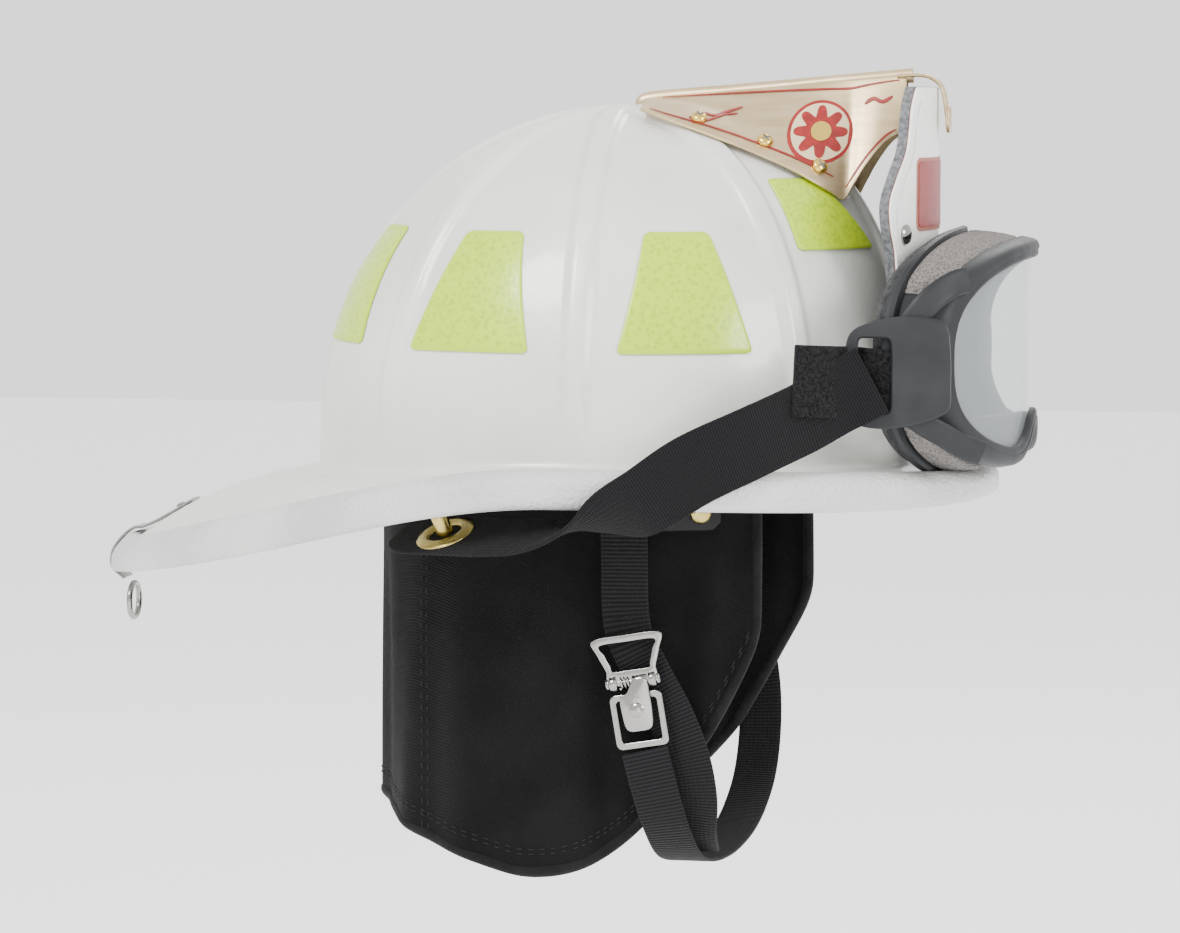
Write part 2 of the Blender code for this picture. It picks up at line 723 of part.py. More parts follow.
def make_chin_anchors():
    """Steel tabs inside the dome's foot, with two domed rivets each."""
    for side, side_name in ((1, "right"), (-1, "left")):
        rows = []
        for height in (0.0035, -0.0200):
            row = []
            for k in range(5):
                angle = -math.radians(58 + 25 * k / 4)
                radius = dome_radius(angle) - CHIN_ANCHOR_INSET
                row.append(polar(angle * side, radius, height))
            rows.append(row)
        sheet(f"chin_anchor_{side_name}", rows, 0.0014, "nickel")
        for number, degrees in enumerate((62.5, 70.0), 1):
            angle = -math.radians(degrees)
            radius = dome_radius(angle) - CHIN_ANCHOR_INSET + 0.0007 + FIT
            place = polar(angle * side, radius, -0.0125)
            head = ((0.0045, 0), (0.0043, 0.0010), (0.0032, 0.0021), (0.0012, 0.0027))
            direction = polar(angle * side, 1.0, 0.0)
            rings = turned(head, aim(place, direction), 12)
            loft(f"anchor_rivet_{side_name}_{number}", rings, "brass")


HANGER_PATH = (
    (0.0200, -0.1053, -0.0045), (0.0200, -0.1053, -0.0300), (0.0212, -0.1053, -0.0580),
    (0.0290, -0.1053, -0.0760), (0.0380, -0.1040, -0.0930), (0.0450, -0.1030, -0.1110),
    (0.0485, -0.0990, -0.1280), (0.0480, -0.0890, -0.1420))
CHIN_PATH = (
    (0.0290, -0.1094, -0.1078), (0.0325, -0.1088, -0.1220), (0.0365, -0.1030, -0.1390),
    (0.0395, -0.0880, -0.1530), (0.0415, -0.0620, -0.1600), (0.0430, -0.0300, -0.1635),
    (0.0440, 0.0000, -0.1645), (0.0450, 0.0320, -0.1630), (0.0460, 0.0600, -0.1575),
    (0.0470, 0.0830, -0.1470), (0.0470, 0.0990, -0.1310), (0.0460, 0.1060, -0.1120),
    (0.0430, 0.1075, -0.0920), (0.0390, 0.1072, -0.0720), (0.0300, 0.1060, -0.0450),
    (0.0220, 0.1055, -0.0200), (0.0200, 0.1053, -0.0045))


def ribbon(name, points, width, thickness, material, steps, origin):
    """A strap whose width lies in the plane of X and its own run."""
    path = smooth_path(points, steps)
    rows = []
    for k, point in enumerate(path):
        tangent = (path[min(k + 1, len(path) - 1)] - path[max(k - 1, 0)]).normalized()
        across = Vector((1.0, 0.0, 0.0))
        across = (across - tangent * across.dot(tangent)).normalized() * width / 2
        rows.append([point - across, point + across])
    return sheet(name, rows, thickness, material, origin)


BUCKLE_TOP = Vector((0.0212, -0.1092, -0.0610))
BUCKLE_TILT = math.radians(-9.5)


def buckle_place():
    return Matrix.Translation(BUCKLE_TOP) @ Matrix.Rotation(BUCKLE_TILT, 4, "Y")


def placed(rings, matrix):
    return [[matrix @ Vector(point) for point in ring] for ring in rings]


PIN_DROP = 0.0190
PIN_RADIUS = 0.0015
EAR_RADIUS = 0.0032
LEVER_LENGTH = 0.0200
HOOK_TOP = 0.0236
HOOK_FOOT = 0.0460


def flat_plate(outline, low_y, high_y):
    return [[(x, y, z) for x, z in outline] for y in (low_y, high_y)]


def rod(radius, low, high, matrix, segments=12):
    return turned(((radius, low), (radius, high)), matrix, segments)


def join(obj, name, rings):
    piece = loft(name, rings, "nickel")
    piece.hide_render = True
    piece.display_type = "WIRE"
    boolean = obj.modifiers.new(name, "BOOLEAN")
    boolean.operation = "UNION"
    boolean.solver = "EXACT"
    boolean.object = piece


def make_buckle():
    """Quick-release buckle: a wide frame, a sprung lever on a cross pin, and a lower hook."""
    place = buckle_place()
    axis = place @ Matrix.Translation((0, 0, -PIN_DROP)) @ Matrix.Rotation(math.pi / 2, 4, "Y")
    pin_point = axis @ Vector((0, 0, 0))
    frame = loft("buckle_frame", placed(flat_plate((
        (-0.0140, 0.0), (-0.0100, -0.0140), (-0.0095, -PIN_DROP), (0.0095, -PIN_DROP),
        (0.0100, -0.0140), (0.0140, 0.0)), -0.0012, 0.0012), place), "nickel")
    join(frame, "add_frame_ears", rod(EAR_RADIUS, -0.0095, 0.0095, axis))
    cut(frame, "cut_frame_window", placed(flat_plate((
        (-0.0112, -0.0024), (-0.0076, -0.0132), (0.0076, -0.0132), (0.0112, -0.0024)),
        -0.004, 0.004), place))
    cut(frame, "cut_frame_ears", placed(box((-0.0066, -0.006, -0.030), (0.0066, 0.006, -0.0152)), place))
    cut(frame, "cut_frame_bore", rod(PIN_RADIUS + FIT, -0.012, 0.012, axis))
    pin = ((0.0024, -0.0112), (0.0024, -0.0100), (PIN_RADIUS, -0.0099), (PIN_RADIUS, 0.0099),
           (0.0024, 0.0100), (0.0024, 0.0112))
    loft("buckle_pin", turned(pin, axis, 12), "nickel")
    make_spring(axis)
    lever = loft("buckle_lever", rod(EAR_RADIUS - 0.0004, -0.0002, 0.0060, axis), "nickel",
                 origin=pin_point)
    plate = placed(flat_plate((
        (0.0002, -PIN_DROP), (0.0058, -PIN_DROP), (0.0062, -PIN_DROP - 0.6 * LEVER_LENGTH),
        (0.0045, -PIN_DROP - LEVER_LENGTH), (-0.0045, -PIN_DROP - LEVER_LENGTH),
        (-0.0062, -PIN_DROP - 0.6 * LEVER_LENGTH), (-0.0060, -PIN_DROP - 0.0045),
        (0.0002, -PIN_DROP - 0.0040)), -0.0030, -0.0018), place)
    join(lever, "add_lever_plate", [[lever.matrix_world.inverted() @ p for p in r] for r in plate])
    cut(lever, "cut_lever_bore", rod(PIN_RADIUS + FIT, -0.012, 0.012, axis))
    hook = loft("buckle_hook", placed(box((-0.0108, -0.0012, -HOOK_FOOT), (0.0108, 0.0012, -HOOK_TOP)),
                                      place), "nickel")
    cut(hook, "cut_hook_window", placed(
        box((-0.0084, -0.004, -HOOK_FOOT + 0.0026), (0.0084, 0.004, -HOOK_TOP - 0.0026)), place))


def make_spring(axis):
    """Torsion spring of three turns around the buckle pin."""
    wire, coil, pitch, turns, per_turn = 0.00045, PIN_RADIUS + 0.0009, 0.0014, 3, 12
    rings = []
    for k in range(turns * per_turn + 1):
        angle = 2 * math.pi * k / per_turn
        middle = Vector((coil * math.cos(angle), coil * math.sin(angle),
                         -0.0056 + pitch * k / per_turn))
        outward = Vector((math.cos(angle), math.sin(angle), 0.0))
        ring = []
        for j in range(6):
            turn = 2 * math.pi * j / 6
            around = outward * math.cos(turn) + Vector((0, 0, 1)) * math.sin(turn)
            ring.append(axis @ (middle + around * wire))
        rings.append(ring)
    loft("buckle_spring", rings, "nickel")


SLIDE_SPOT = Vector((0.0428, 0.1073, -0.0920))
SLIDE_RUN = Vector((-0.0070, 0.0012, 0.0400))


def make_chin_slide():
    run = SLIDE_RUN.normalized()
    across = (Vector((1, 0, 0)) - run * run.x).normalized()
    out = run.cross(across)
    place = Matrix.Translation(SLIDE_SPOT) @ Matrix((across, out, run)).transposed().to_4x4()
    half_wide = CHIN_WIDTH / 2 + 0.0008
    half_deep = CHIN_THICK / 2 + 0.0011
    body = box((-half_wide - 0.0026, -half_deep - 0.0016, -0.0048),
               (half_wide + 0.0026, half_deep + 0.0016, 0.0048))
    slide = loft("chin_slide", placed(body, place), "band_black")
    cut(slide, "cut_slide_slot", placed(
        box((-half_wide, -half_deep, -0.010), (half_wide, half_deep, 0.010)), place))


def make_chin_strap():
    ribbon("chin_hanger_strap", HANGER_PATH, CHIN_WIDTH, CHIN_THICK, "elastic_black", 2, CHIN_PIVOT)
    ribbon("chin_strap", CHIN_PATH, CHIN_WIDTH, CHIN_THICK, "elastic_black", 2, CHIN_PIVOT)
    make_buckle()
    make_chin_slide()


NECK_TURN = 0.55
NECK_LOW_X, NECK_LOW_Z = -0.026, -0.162
NECK_FRONT_FOOT = -0.064
NECK_REAR_FOOT = -0.142


def neck_plan(u):
    """Plan of the neck protector; u runs -1 to 1 from its right to its left front edge."""
    side = -1.0 if u < 0 else 1.0
    size = abs(u)
    if size < NECK_TURN:
        turn = size / NECK_TURN * math.pi / 2
        return Vector((-NECK_REAR * math.cos(turn), side * NECK_SIDE * math.sin(turn), 0.0))
    share = (size - NECK_TURN) / (1 - NECK_TURN)
    return Vector((NECK_FRONT_EDGE * share, side * (NECK_SIDE - 0.016 * share ** 2), 0.0))


def neck_hem(x):
    if x > NECK_LOW_X:
        share = (x - NECK_LOW_X) / (NECK_FRONT_EDGE - NECK_LOW_X)
        return NECK_LOW_Z + (NECK_FRONT_FOOT - NECK_LOW_Z) * share ** 2.3
    share = (NECK_LOW_X - x) / (NECK_REAR + NECK_LOW_X)
    return NECK_LOW_Z + (NECK_REAR_FOOT - NECK_LOW_Z) * share ** 1.1


def make_neck_protector():
    columns, steps = 28, 5
    rows = []
    for j in range(steps + 1):
        row = []
        for k in range(columns + 1):
            point = neck_plan(2 * k / columns - 1)
            point.z = NECK_TOP + (neck_hem(point.x) - NECK_TOP) * j / steps
            row.append(point)
        rows.append(row)
    sheet("neck_protector", rows, NECK_THICK, "cloth_black")


def band_point(angle, inset, height):
    """Point of the headband's plan, an oval a little squarer than an ellipse."""
    power = 2 / 2.6
    x = (BAND_FRONT - inset) * math.copysign(abs(math.cos(angle)) ** power, math.cos(angle))
    y = (BAND_SIDE - inset) * math.copysign(abs(math.sin(angle)) ** power, math.sin(angle))
    return Vector((x, y, height))


def band_sheet(name, end, inset, low, high, thickness, material, columns):
    rows = []
    for height in (low, high):
        rows.append([band_point(end * (2 * k / columns - 1), inset, height) for k in range(columns + 1)])
    sheet(name, rows, thickness, material)


def crown_strap(name, half_span, apex, along_x, rear_foot):
    """A strap that rises outside the headband, passes over the head, and comes down again."""
    foot, spring = 0.010, 0.022
    profile = [(-half_span, rear_foot)]
    steps = 14
    for k in range(steps + 1):
        angle = math.pi * k / steps
        run, height = -half_span * math.cos(angle), spring + (apex - spring) * math.sin(angle)
        if run > 0 or height > rear_foot + 0.004:
            profile.append((run, height))
    profile.append((half_span, foot))
    rows = []
    for run, height in profile:
        half = CROWN_STRAP_WIDTH / 2
        if along_x:
            rows.append([(run, -half, height), (run, half, height)])
        else:
            rows.append([(-half, run, height), (half, run, height)])
    sheet(name, rows, CROWN_STRAP_THICK, "elastic_black")


def make_suspension():
    band_sheet("headband", BAND_END, 0.0, BAND_LOW, BAND_HIGH, BAND_THICK, "band_black", 36)
    pad = 0.004
    pad_inset = BAND_THICK / 2 + FIT + pad / 2
    band_sheet("brow_pad", math.radians(62), pad_inset, BAND_LOW + 0.002, BAND_HIGH - 0.002, pad,
               "foam_black", 14)
    outside = BAND_THICK / 2 + CROWN_STRAP_THICK / 2 + FIT
    above_ratchet = RATCHET_HEIGHT + HOUSING_HALF + FIT
    crown_strap("crown_strap_fore_aft", BAND_FRONT + outside, CROWN_APEX, True, above_ratchet)
    crown_strap("crown_strap_cross", BAND_SIDE + outside, CROWN_APEX - CROWN_STRAP_STEP, False, 0.010)
    pad_top = CROWN_APEX - CROWN_STRAP_STEP - CROWN_STRAP_THICK - 0.006
    rim = CROWN_PAD_RADIUS
    profile = ((rim - 0.002, pad_top - CROWN_PAD_THICK), (rim, pad_top - CROWN_PAD_THICK + 0.002),
               (rim, pad_top - 0.002), (rim - 0.002, pad_top))
    loft("crown_pad", turned(profile, Matrix(), 24), "foam_black")


RACK_PLANE = -0.0875
HOUSING_BACK = -0.0965
HOUSING_FRONT = -0.0835


def make_ratchet():
    """Rear size adjuster: a knob with a pinion that draws two toothed racks past each other."""
    housing = loft("ratchet_housing", box((HOUSING_BACK, -0.022, RATCHET_HEIGHT - HOUSING_HALF),
                                          (HOUSING_FRONT, 0.022, RATCHET_HEIGHT + HOUSING_HALF)), "band_black")
    reach = PINION_RADIUS + RACK_HEIGHT + 2 * FIT
    cut(housing, "cut_housing_slot", box(
        (HOUSING_FRONT - 0.0070, -0.030, RATCHET_HEIGHT - reach),
        (HOUSING_FRONT - 0.0015, 0.030, RATCHET_HEIGHT + reach)))
    axle = aim((0.0, 0.0, RATCHET_HEIGHT), (-1.0, 0.0, 0.0))
    cut(housing, "cut_housing_bore", rod(PINION_RADIUS + FIT, -HOUSING_FRONT + 0.002,
                                         -HOUSING_BACK + 0.002, axle, 16))
    grip = -HOUSING_BACK + FIT
    profile = ((PINION_RADIUS, -HOUSING_FRONT + 0.0022), (PINION_RADIUS, grip),
               (RATCHET_KNOB_RADIUS, grip + 0.0006), (RATCHET_KNOB_RADIUS, grip + 0.0060),
               (RATCHET_KNOB_RADIUS - 0.0015, grip + 0.0072))
    loft("ratchet_knob", turned(profile, axle, 24), "band_black",
         origin=(HOUSING_BACK, 0.0, RATCHET_HEIGHT))
    offset = PINION_RADIUS + FIT
    for side, name in ((1, "rack_right"), (-1, "rack_left")):
        low = RATCHET_HEIGHT + offset if side > 0 else RATCHET_HEIGHT - offset - RACK_HEIGHT
        near, far = -side * RACK_REACH, side * 0.014
        loft(name, box((RACK_PLANE - RACK_THICK / 2, min(near, far), low),
                       (RACK_PLANE + RACK_THICK / 2, max(near, far), low + RACK_HEIGHT)), "band_black")
    rows = [[(HOUSING_FRONT + 0.0033, y, z) for y in (-0.027, 0.027)]
            for z in (RATCHET_HEIGHT - 0.014, RATCHET_HEIGHT + 0.014)]
    sheet("nape_pad", rows, 0.005, "foam_black")


HANGER_HALF = 0.007
RING_RADIUS = 0.0075
RING_WIRE = 0.0013


def make_tail_hanger():
    """Nickel clip around the tail of the brim, with a ring to hang the helmet by."""
    half = TRIM_HALF_END + 0.0011
    edge = brim_radius(math.pi)
    stations = [(edge - 0.034, SHELL_WALL / 2 + 0.0011), (edge - 0.022, SHELL_WALL / 2 + 0.0011),
                (edge - 0.0125, SHELL_WALL / 2 + 0.0030), (edge - 0.0075, half + 0.0006),
                (edge - 0.0020, half + 0.0006)]
    over = [Vector((-r, 0.0, brim_height(math.pi, r) + up)) for r, up in stations]
    edge_z = brim_edge(math.pi)
    over.append(Vector((-edge - 0.0019, 0.0, edge_z + 0.0030)))
    over.append(Vector((-edge - 0.0019, 0.0, edge_z - 0.0036)))
    over.append(Vector((-edge + 0.0035, 0.0, edge_z - half - 0.0016)))
    rows = [[(p.x, -HANGER_HALF, p.z), (p.x, HANGER_HALF, p.z)] for p in over]
    sheet("hanger_bracket", rows, 0.0011, "nickel")
    top = over[-1] + Vector((0.0025, 0.0, -0.0026))
    rings = []
    for k in range(24):
        angle = 2 * math.pi * k / 24
        outward = Vector((0.0, math.sin(angle), math.cos(angle)))
        centre = top + Vector((0, 0, -RING_RADIUS)) + outward * RING_RADIUS
        ring = []
        for j in range(8):
            turn = 2 * math.pi * j / 8
            ring.append(centre + outward * RING_WIRE * math.cos(turn)
                        + Vector((RING_WIRE * math.sin(turn), 0, 0)))
        rings.append(ring)
    loft("hanger_ring", rings, "nickel", closed=True, origin=top)


def main():
    clear_scene()
    make_shell()
    make_trim()
    make_impact_cap()
    make_markers()
    make_holder()
    make_holder_screws()
    make_shield()
    make_goggles()
    make_goggle_straps()
    make_chin_anchors()
    make_chin_strap()
    make_neck_protector()
    make_suspension()
    make_ratchet()
    make_tail_hanger()


main()
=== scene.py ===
"""Fire helmet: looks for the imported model. Metres, +X front, +Y the wearer's left, +Z up."""
import math

import bmesh
import bpy
from mathutils import Matrix, Vector


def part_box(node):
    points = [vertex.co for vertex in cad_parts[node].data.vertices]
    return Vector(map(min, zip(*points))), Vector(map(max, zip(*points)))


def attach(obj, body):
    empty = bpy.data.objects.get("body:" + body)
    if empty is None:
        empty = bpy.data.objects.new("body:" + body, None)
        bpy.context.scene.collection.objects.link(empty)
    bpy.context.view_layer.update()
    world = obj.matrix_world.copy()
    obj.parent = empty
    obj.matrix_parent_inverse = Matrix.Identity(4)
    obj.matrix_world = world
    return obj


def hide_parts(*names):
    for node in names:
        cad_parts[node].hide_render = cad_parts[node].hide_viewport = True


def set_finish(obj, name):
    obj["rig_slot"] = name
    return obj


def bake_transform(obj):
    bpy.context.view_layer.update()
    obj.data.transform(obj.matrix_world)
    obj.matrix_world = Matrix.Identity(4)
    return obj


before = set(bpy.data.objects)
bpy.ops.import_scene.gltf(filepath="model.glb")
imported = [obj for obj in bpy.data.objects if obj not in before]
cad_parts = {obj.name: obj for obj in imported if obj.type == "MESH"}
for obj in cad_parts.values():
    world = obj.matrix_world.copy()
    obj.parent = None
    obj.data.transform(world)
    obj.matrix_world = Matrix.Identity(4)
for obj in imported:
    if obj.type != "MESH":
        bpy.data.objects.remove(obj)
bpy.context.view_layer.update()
TAU = 2 * math.pi
SIDES = ((1, "right"), (-1, "left"))


# ---------------------------------------------------------------- camera, light and floor

def look_from(azimuth, elevation, distance, across, up, focal):
    """Camera on a sphere round the object, aimed a little off the origin."""
    a, e = math.radians(azimuth), math.radians(elevation)
    ahead = Vector((-math.sin(a) * math.cos(e), math.cos(a) * math.cos(e), -math.sin(e)))
    right = Vector((math.cos(a), math.sin(a), 0.0))
    above = right.cross(ahead)
    camera = bpy.data.objects.new("camera", bpy.data.cameras.new("camera"))
    camera.location = right * across + above * up - ahead * distance
    camera.rotation_euler = ahead.to_track_quat("-Z", "Y").to_euler()
    camera.data.lens = focal
    camera.data.sensor_width = 36.0
    camera.data.clip_start = 0.05
    bpy.context.collection.objects.link(camera)
    bpy.context.scene.camera = camera


def area_light(name, location, target, size, power, colour=(1.0, 1.0, 1.0)):
    light = bpy.data.lights.new(name, "AREA")
    light.shape = "DISK"
    light.size = size
    light.energy = power
    light.color = colour
    lamp = bpy.data.objects.new(name, light)
    lamp.location = location
    lamp.rotation_euler = (Vector(target) - Vector(location)).to_track_quat("-Z", "Y").to_euler()
    bpy.context.collection.objects.link(lamp)


def studio():
    world = bpy.data.worlds.new("studio")
    world.use_nodes = True
    world.node_tree.nodes["Background"].inputs["Color"].default_value = (1.0, 1.0, 1.0, 1.0)
    world.node_tree.nodes["Background"].inputs["Strength"].default_value = 1.65
    bpy.context.scene.world = world
    area_light("key", (-0.9, -1.6, 1.7), (0, 0, 0), 0.9, 62)
    area_light("front_fill", (1.7, -1.0, 0.8), (0, 0, 0), 0.8, 26)
    area_light("rim", (0.4, 1.8, 1.5), (0, 0, 0), 1.0, 18)
    area_light("low_fill", (0.2, -1.7, -0.15), (0, 0, -0.05), 0.8, 3)
    floor_mesh = bpy.data.meshes.new("floor")
    reach, level = 6.0, -0.42
    corners = [(x * reach, y * reach, level) for x, y in ((-1, -1), (1, -1), (1, 1), (-1, 1))]
    floor_mesh.from_pydata(corners, [], [(0, 1, 2, 3)])
    floor = bpy.data.objects.new("floor", floor_mesh)
    bpy.context.collection.objects.link(floor)
    paper = plain("floor_white", (0.97, 0.97, 0.97), 0.9)
    shader_of(paper).inputs["Emission Color"].default_value = (1.0, 1.0, 1.0, 1.0)
    shader_of(paper).inputs["Emission Strength"].default_value = 0.27
    floor_mesh.materials.append(paper)


# ---------------------------------------------------------------- materials

def shader_of(material):
    return material.node_tree.nodes["Principled BSDF"]


def plain(name, colour, roughness, metallic=0.0):
    material = bpy.data.materials.new(name)
    material.use_nodes = True
    shader = shader_of(material)
    shader.inputs["Base Color"].default_value = (*colour, 1.0)
    shader.inputs["Roughness"].default_value = roughness
    shader.inputs["Metallic"].default_value = metallic
    return material


class Look:
    """A Principled material with small helpers for procedural colour, roughness and bump."""

    def __init__(self, name, colour, roughness, metallic=0.0, **sockets):
        self.material = plain(name, colour, roughness, metallic)
        self.tree = self.material.node_tree
        self.shader = shader_of(self.material)
        self.coords = self.tree.nodes.new("ShaderNodeTexCoord")
        self.last_bump = None
        for key, value in sockets.items():
            self.shader.inputs[key.replace("_", " ")].default_value = value

    def node(self, kind, **values):
        made = self.tree.nodes.new(kind)
        for key, value in values.items():
            made.inputs[key.replace("_", " ")].default_value = value
        return made

    def link(self, start, end):
        self.tree.links.new(start, end)

    def scaled(self, source, scale):
        mapping = self.tree.nodes.new("ShaderNodeMapping")
        mapping.inputs["Scale"].default_value = scale
        self.link(self.coords.outputs[source], mapping.inputs["Vector"])
        return mapping.outputs["Vector"]

    def noise(self, scale, detail=3.0, stretch=(1, 1, 1)):
        noise = self.node("ShaderNodeTexNoise", Scale=scale, Detail=detail, Roughness=0.5)
        self.link(self.scaled("Object", stretch), noise.inputs["Vector"])
        return noise.outputs["Fac"]

    def cells(self, scale):
        cells = self.node("ShaderNodeTexVoronoi", Scale=scale)
        self.link(self.scaled("Object", (1, 1, 1)), cells.inputs["Vector"])
        return cells.outputs["Distance"]

    def wave(self, period, direction="X", source="UV", distortion=0.0):
        """Bands that repeat every period, in metres."""
        share = 10 if direction == "DIAGONAL" else 20
        wave = self.node("ShaderNodeTexWave", Scale=TAU / (share * period), Distortion=distortion)
        wave.bands_direction = direction
        self.link(self.scaled(source, (1, 1, 1)), wave.inputs["Vector"])
        return wave.outputs["Fac"]

    def colour(self, factor, low, high, start=0.35, end=0.65):
        ramp = self.node("ShaderNodeValToRGB")
        ramp.color_ramp.elements[0].color = (*low, 1.0)
        ramp.color_ramp.elements[1].color = (*high, 1.0)
        self.link(factor, ramp.inputs["Fac"])
        ramp.color_ramp.elements[0].position = start
        ramp.color_ramp.elements[1].position = end
        self.link(ramp.outputs["Color"], self.shader.inputs["Base Color"])
        return self

    def rough(self, factor, low, high):
        spread = self.tree.nodes.new("ShaderNodeMapRange")
        spread.inputs["To Min"].default_value = low
        spread.inputs["To Max"].default_value = high
        self.link(factor, spread.inputs["Value"])
        self.link(spread.outputs["Result"], self.shader.inputs["Roughness"])
        return self

    def bump(self, factor, depth, strength=1.0):
        bump = self.node("ShaderNodeBump", Strength=strength, Distance=depth)
        self.link(factor, bump.inputs["Height"])
        if self.last_bump is not None:
            self.link(self.last_bump.outputs["Normal"], bump.inputs["Normal"])
        self.link(bump.outputs["Normal"], self.shader.inputs["Normal"])
        self.last_bump = bump
        return self


def shell_look():
    look = Look("shell_paint", (0.84, 0.84, 0.80), 0.3, Coat_Weight=0.5, Coat_Roughness=0.12)
    look.colour(look.noise(14, 5), (0.60, 0.60, 0.555), (0.74, 0.74, 0.70), 0.3, 0.7)
    look.rough(look.noise(60, 4), 0.24, 0.40)
    look.bump(look.noise(420, 6), 0.00016).bump(look.noise(38, 3), 0.0007)
    return look


def trim_look():
    look = Look("trim_leather", (0.80, 0.80, 0.79), 0.55)
    look.colour(look.noise(20, 4), (0.47, 0.47, 0.465), (0.58, 0.58, 0.57))
    look.rough(look.noise(90, 3), 0.45, 0.66)
    look.bump(look.cells(560), 0.0006, 0.8).bump(look.noise(240, 5), 0.0006)
    return look


def marker_look():
    look = Look("marker_film", (0.5, 0.7, 0.0), 0.25, Coat_Weight=0.25, Coat_Roughness=0.08)
    look.colour(look.cells(420), (0.33, 0.50, 0.0), (0.47, 0.66, 0.0), 0.1, 0.6)
    look.bump(look.cells(420), 0.00010, 0.5)
    return look


def marker_edge_look():
    look = Look("marker_edge", (0.44, 0.62, 0.01), 0.3)
    look.bump(look.noise(300), 0.0001)
    return look


def brass_look():
    look = Look("brass_sheet", (0.83, 0.68, 0.46), 0.34, 0.82, Anisotropic=0.4)
    look.colour(look.noise(50, 4, stretch=(1, 1, 6)), (0.56, 0.42, 0.23), (0.66, 0.51, 0.31))
    look.rough(look.noise(500, 3, stretch=(0.15, 1, 1)), 0.28, 0.44)
    look.bump(look.noise(900, 2, stretch=(0.1, 1, 1)), 0.00003)
    return look


def brass_bright_look():
    look = Look("brass_bright", (0.80, 0.55, 0.12), 0.18, 1.0)
    look.rough(look.noise(260), 0.10, 0.30)
    look.bump(look.noise(700), 0.00005)
    return look


def eyelet_look():
    look = Look("eyelet_brass", (0.50, 0.40, 0.13), 0.24, 1.0)
    look.rough(look.noise(300), 0.16, 0.34)
    look.bump(look.noise(600), 0.00005)
    return look


def red_look():
    look = Look("red_enamel", (0.42, 0.03, 0.025), 0.4)
    look.colour(look.noise(300), (0.20, 0.006, 0.005), (0.30, 0.010, 0.008))
    return look


def cream_look():
    look = Look("cream_enamel", (0.66, 0.52, 0.32), 0.4)
    look.rough(look.noise(300), 0.3, 0.5)
    return look


def face_look():
    look = Look("shield_face_leather", (0.86, 0.86, 0.83), 0.42, Coat_Weight=0.15)
    look.colour(look.noise(40, 5), (0.82, 0.82, 0.79), (0.90, 0.90, 0.88))
    look.bump(look.cells(900), 0.00018, 0.7).bump(look.noise(120), 0.0003)
    return look


def core_look():
    look = Look("shield_core_leather", (0.10, 0.105, 0.11), 0.75)
    look.colour(look.noise(500, 5), (0.06, 0.065, 0.07), (0.17, 0.175, 0.18))
    look.bump(look.noise(800, 4), 0.0003)
    return look


def tan_look():
    look = Look("shield_edge_dye", (0.36, 0.13, 0.09), 0.6)
    look.rough(look.noise(300), 0.5, 0.7)
    return look


def slate_look():
    look = Look("goggle_rubber", (0.028, 0.031, 0.035), 0.5, Specular_IOR_Level=0.28)
    look.colour(look.noise(60, 4), (0.0105, 0.0115, 0.0130), (0.0160, 0.0172, 0.0190))
    look.rough(look.noise(150), 0.42, 0.60)
    look.bump(look.noise(1500, 2), 0.00005)
    return look


def foam_look():
    look = Look("vent_foam", (0.17, 0.175, 0.185), 0.95)
    # Painted shade: the pore hollows that the bump below sinks are painted darker on the same cells.
    look.colour(look.cells(900), (0.030, 0.028, 0.027), (0.17, 0.155, 0.145), 0.05, 0.5)
    look.bump(look.cells(900), 0.0009, 1.0)
    return look


def pad_look():
    look = Look("pad_foam", (0.03, 0.031, 0.033), 0.85)
    look.colour(look.noise(300), (0.022, 0.022, 0.024), (0.045, 0.046, 0.048))
    look.bump(look.cells(1100), 0.0004, 0.8)
    return look


def lens_look():
    look = Look("lens_clear", (0.70, 0.76, 0.78), 0.03, Alpha=0.17, IOR=1.58)
    look.rough(look.noise(30), 0.02, 0.06)
    return look


def hook_look():
    look = Look("hook_and_loop", (0.012, 0.012, 0.013), 0.95, Specular_IOR_Level=0.12, Sheen_Weight=0.03)
    look.colour(look.noise(900, 4), (0.0015, 0.0015, 0.0018), (0.014, 0.014, 0.015))
    look.bump(look.noise(1300, 3), 0.0008)
    return look


def cloth_look():
    look = Look("protector_cloth", (0.012, 0.011, 0.012), 0.9, Specular_IOR_Level=0.12, Sheen_Weight=0.02)
    look.colour(look.noise(35, 5), (0.0022, 0.0020, 0.0022), (0.0050, 0.0044, 0.0047))
    look.bump(look.wave(0.0013, "DIAGONAL", "Object", 1.0), 0.00016).bump(look.noise(30, 3), 0.0008)
    return look


def binding_look():
    look = Look("protector_binding", (0.014, 0.013, 0.014), 0.85, Specular_IOR_Level=0.15, Sheen_Weight=0.03)
    look.colour(look.noise(90, 4), (0.0035, 0.0032, 0.0034), (0.008, 0.0074, 0.0078))
    look.bump(look.noise(500, 3), 0.0003).bump(look.wave(0.0008, "Z", "Object"), 0.0001)
    return look


def thread_look():
    look = Look("stitch_thread", (0.010, 0.010, 0.011), 0.7, Specular_IOR_Level=0.2)
    look.bump(look.noise(1500), 0.0001)
    return look


def pale_thread_look():
    look = Look("pale_thread", (0.70, 0.70, 0.68), 0.6)
    look.bump(look.noise(1500), 0.0001)
    return look


def nickel_look():
    look = Look("nickel_plate", (0.30, 0.295, 0.28), 0.14, 1.0)
    look.rough(look.noise(180, 4), 0.07, 0.24)
    look.bump(look.noise(400, 3), 0.00008)
    return look


def polymer_look():
    look = Look("band_polymer", (0.008, 0.008, 0.009), 0.42, Specular_IOR_Level=0.2)
    look.rough(look.noise(120), 0.34, 0.55)
    look.bump(look.noise(900), 0.00006)
    return look


def cap_look():
    look = Look("cap_foam", (0.035, 0.035, 0.037), 0.9)
    # Painted shade: the pore hollows that the bump below sinks are painted darker on the same cells.
    look.colour(look.cells(500), (0.022, 0.022, 0.024), (0.050, 0.050, 0.052), 0.1, 0.6)
    look.bump(look.cells(500), 0.0004, 0.8)
    return look


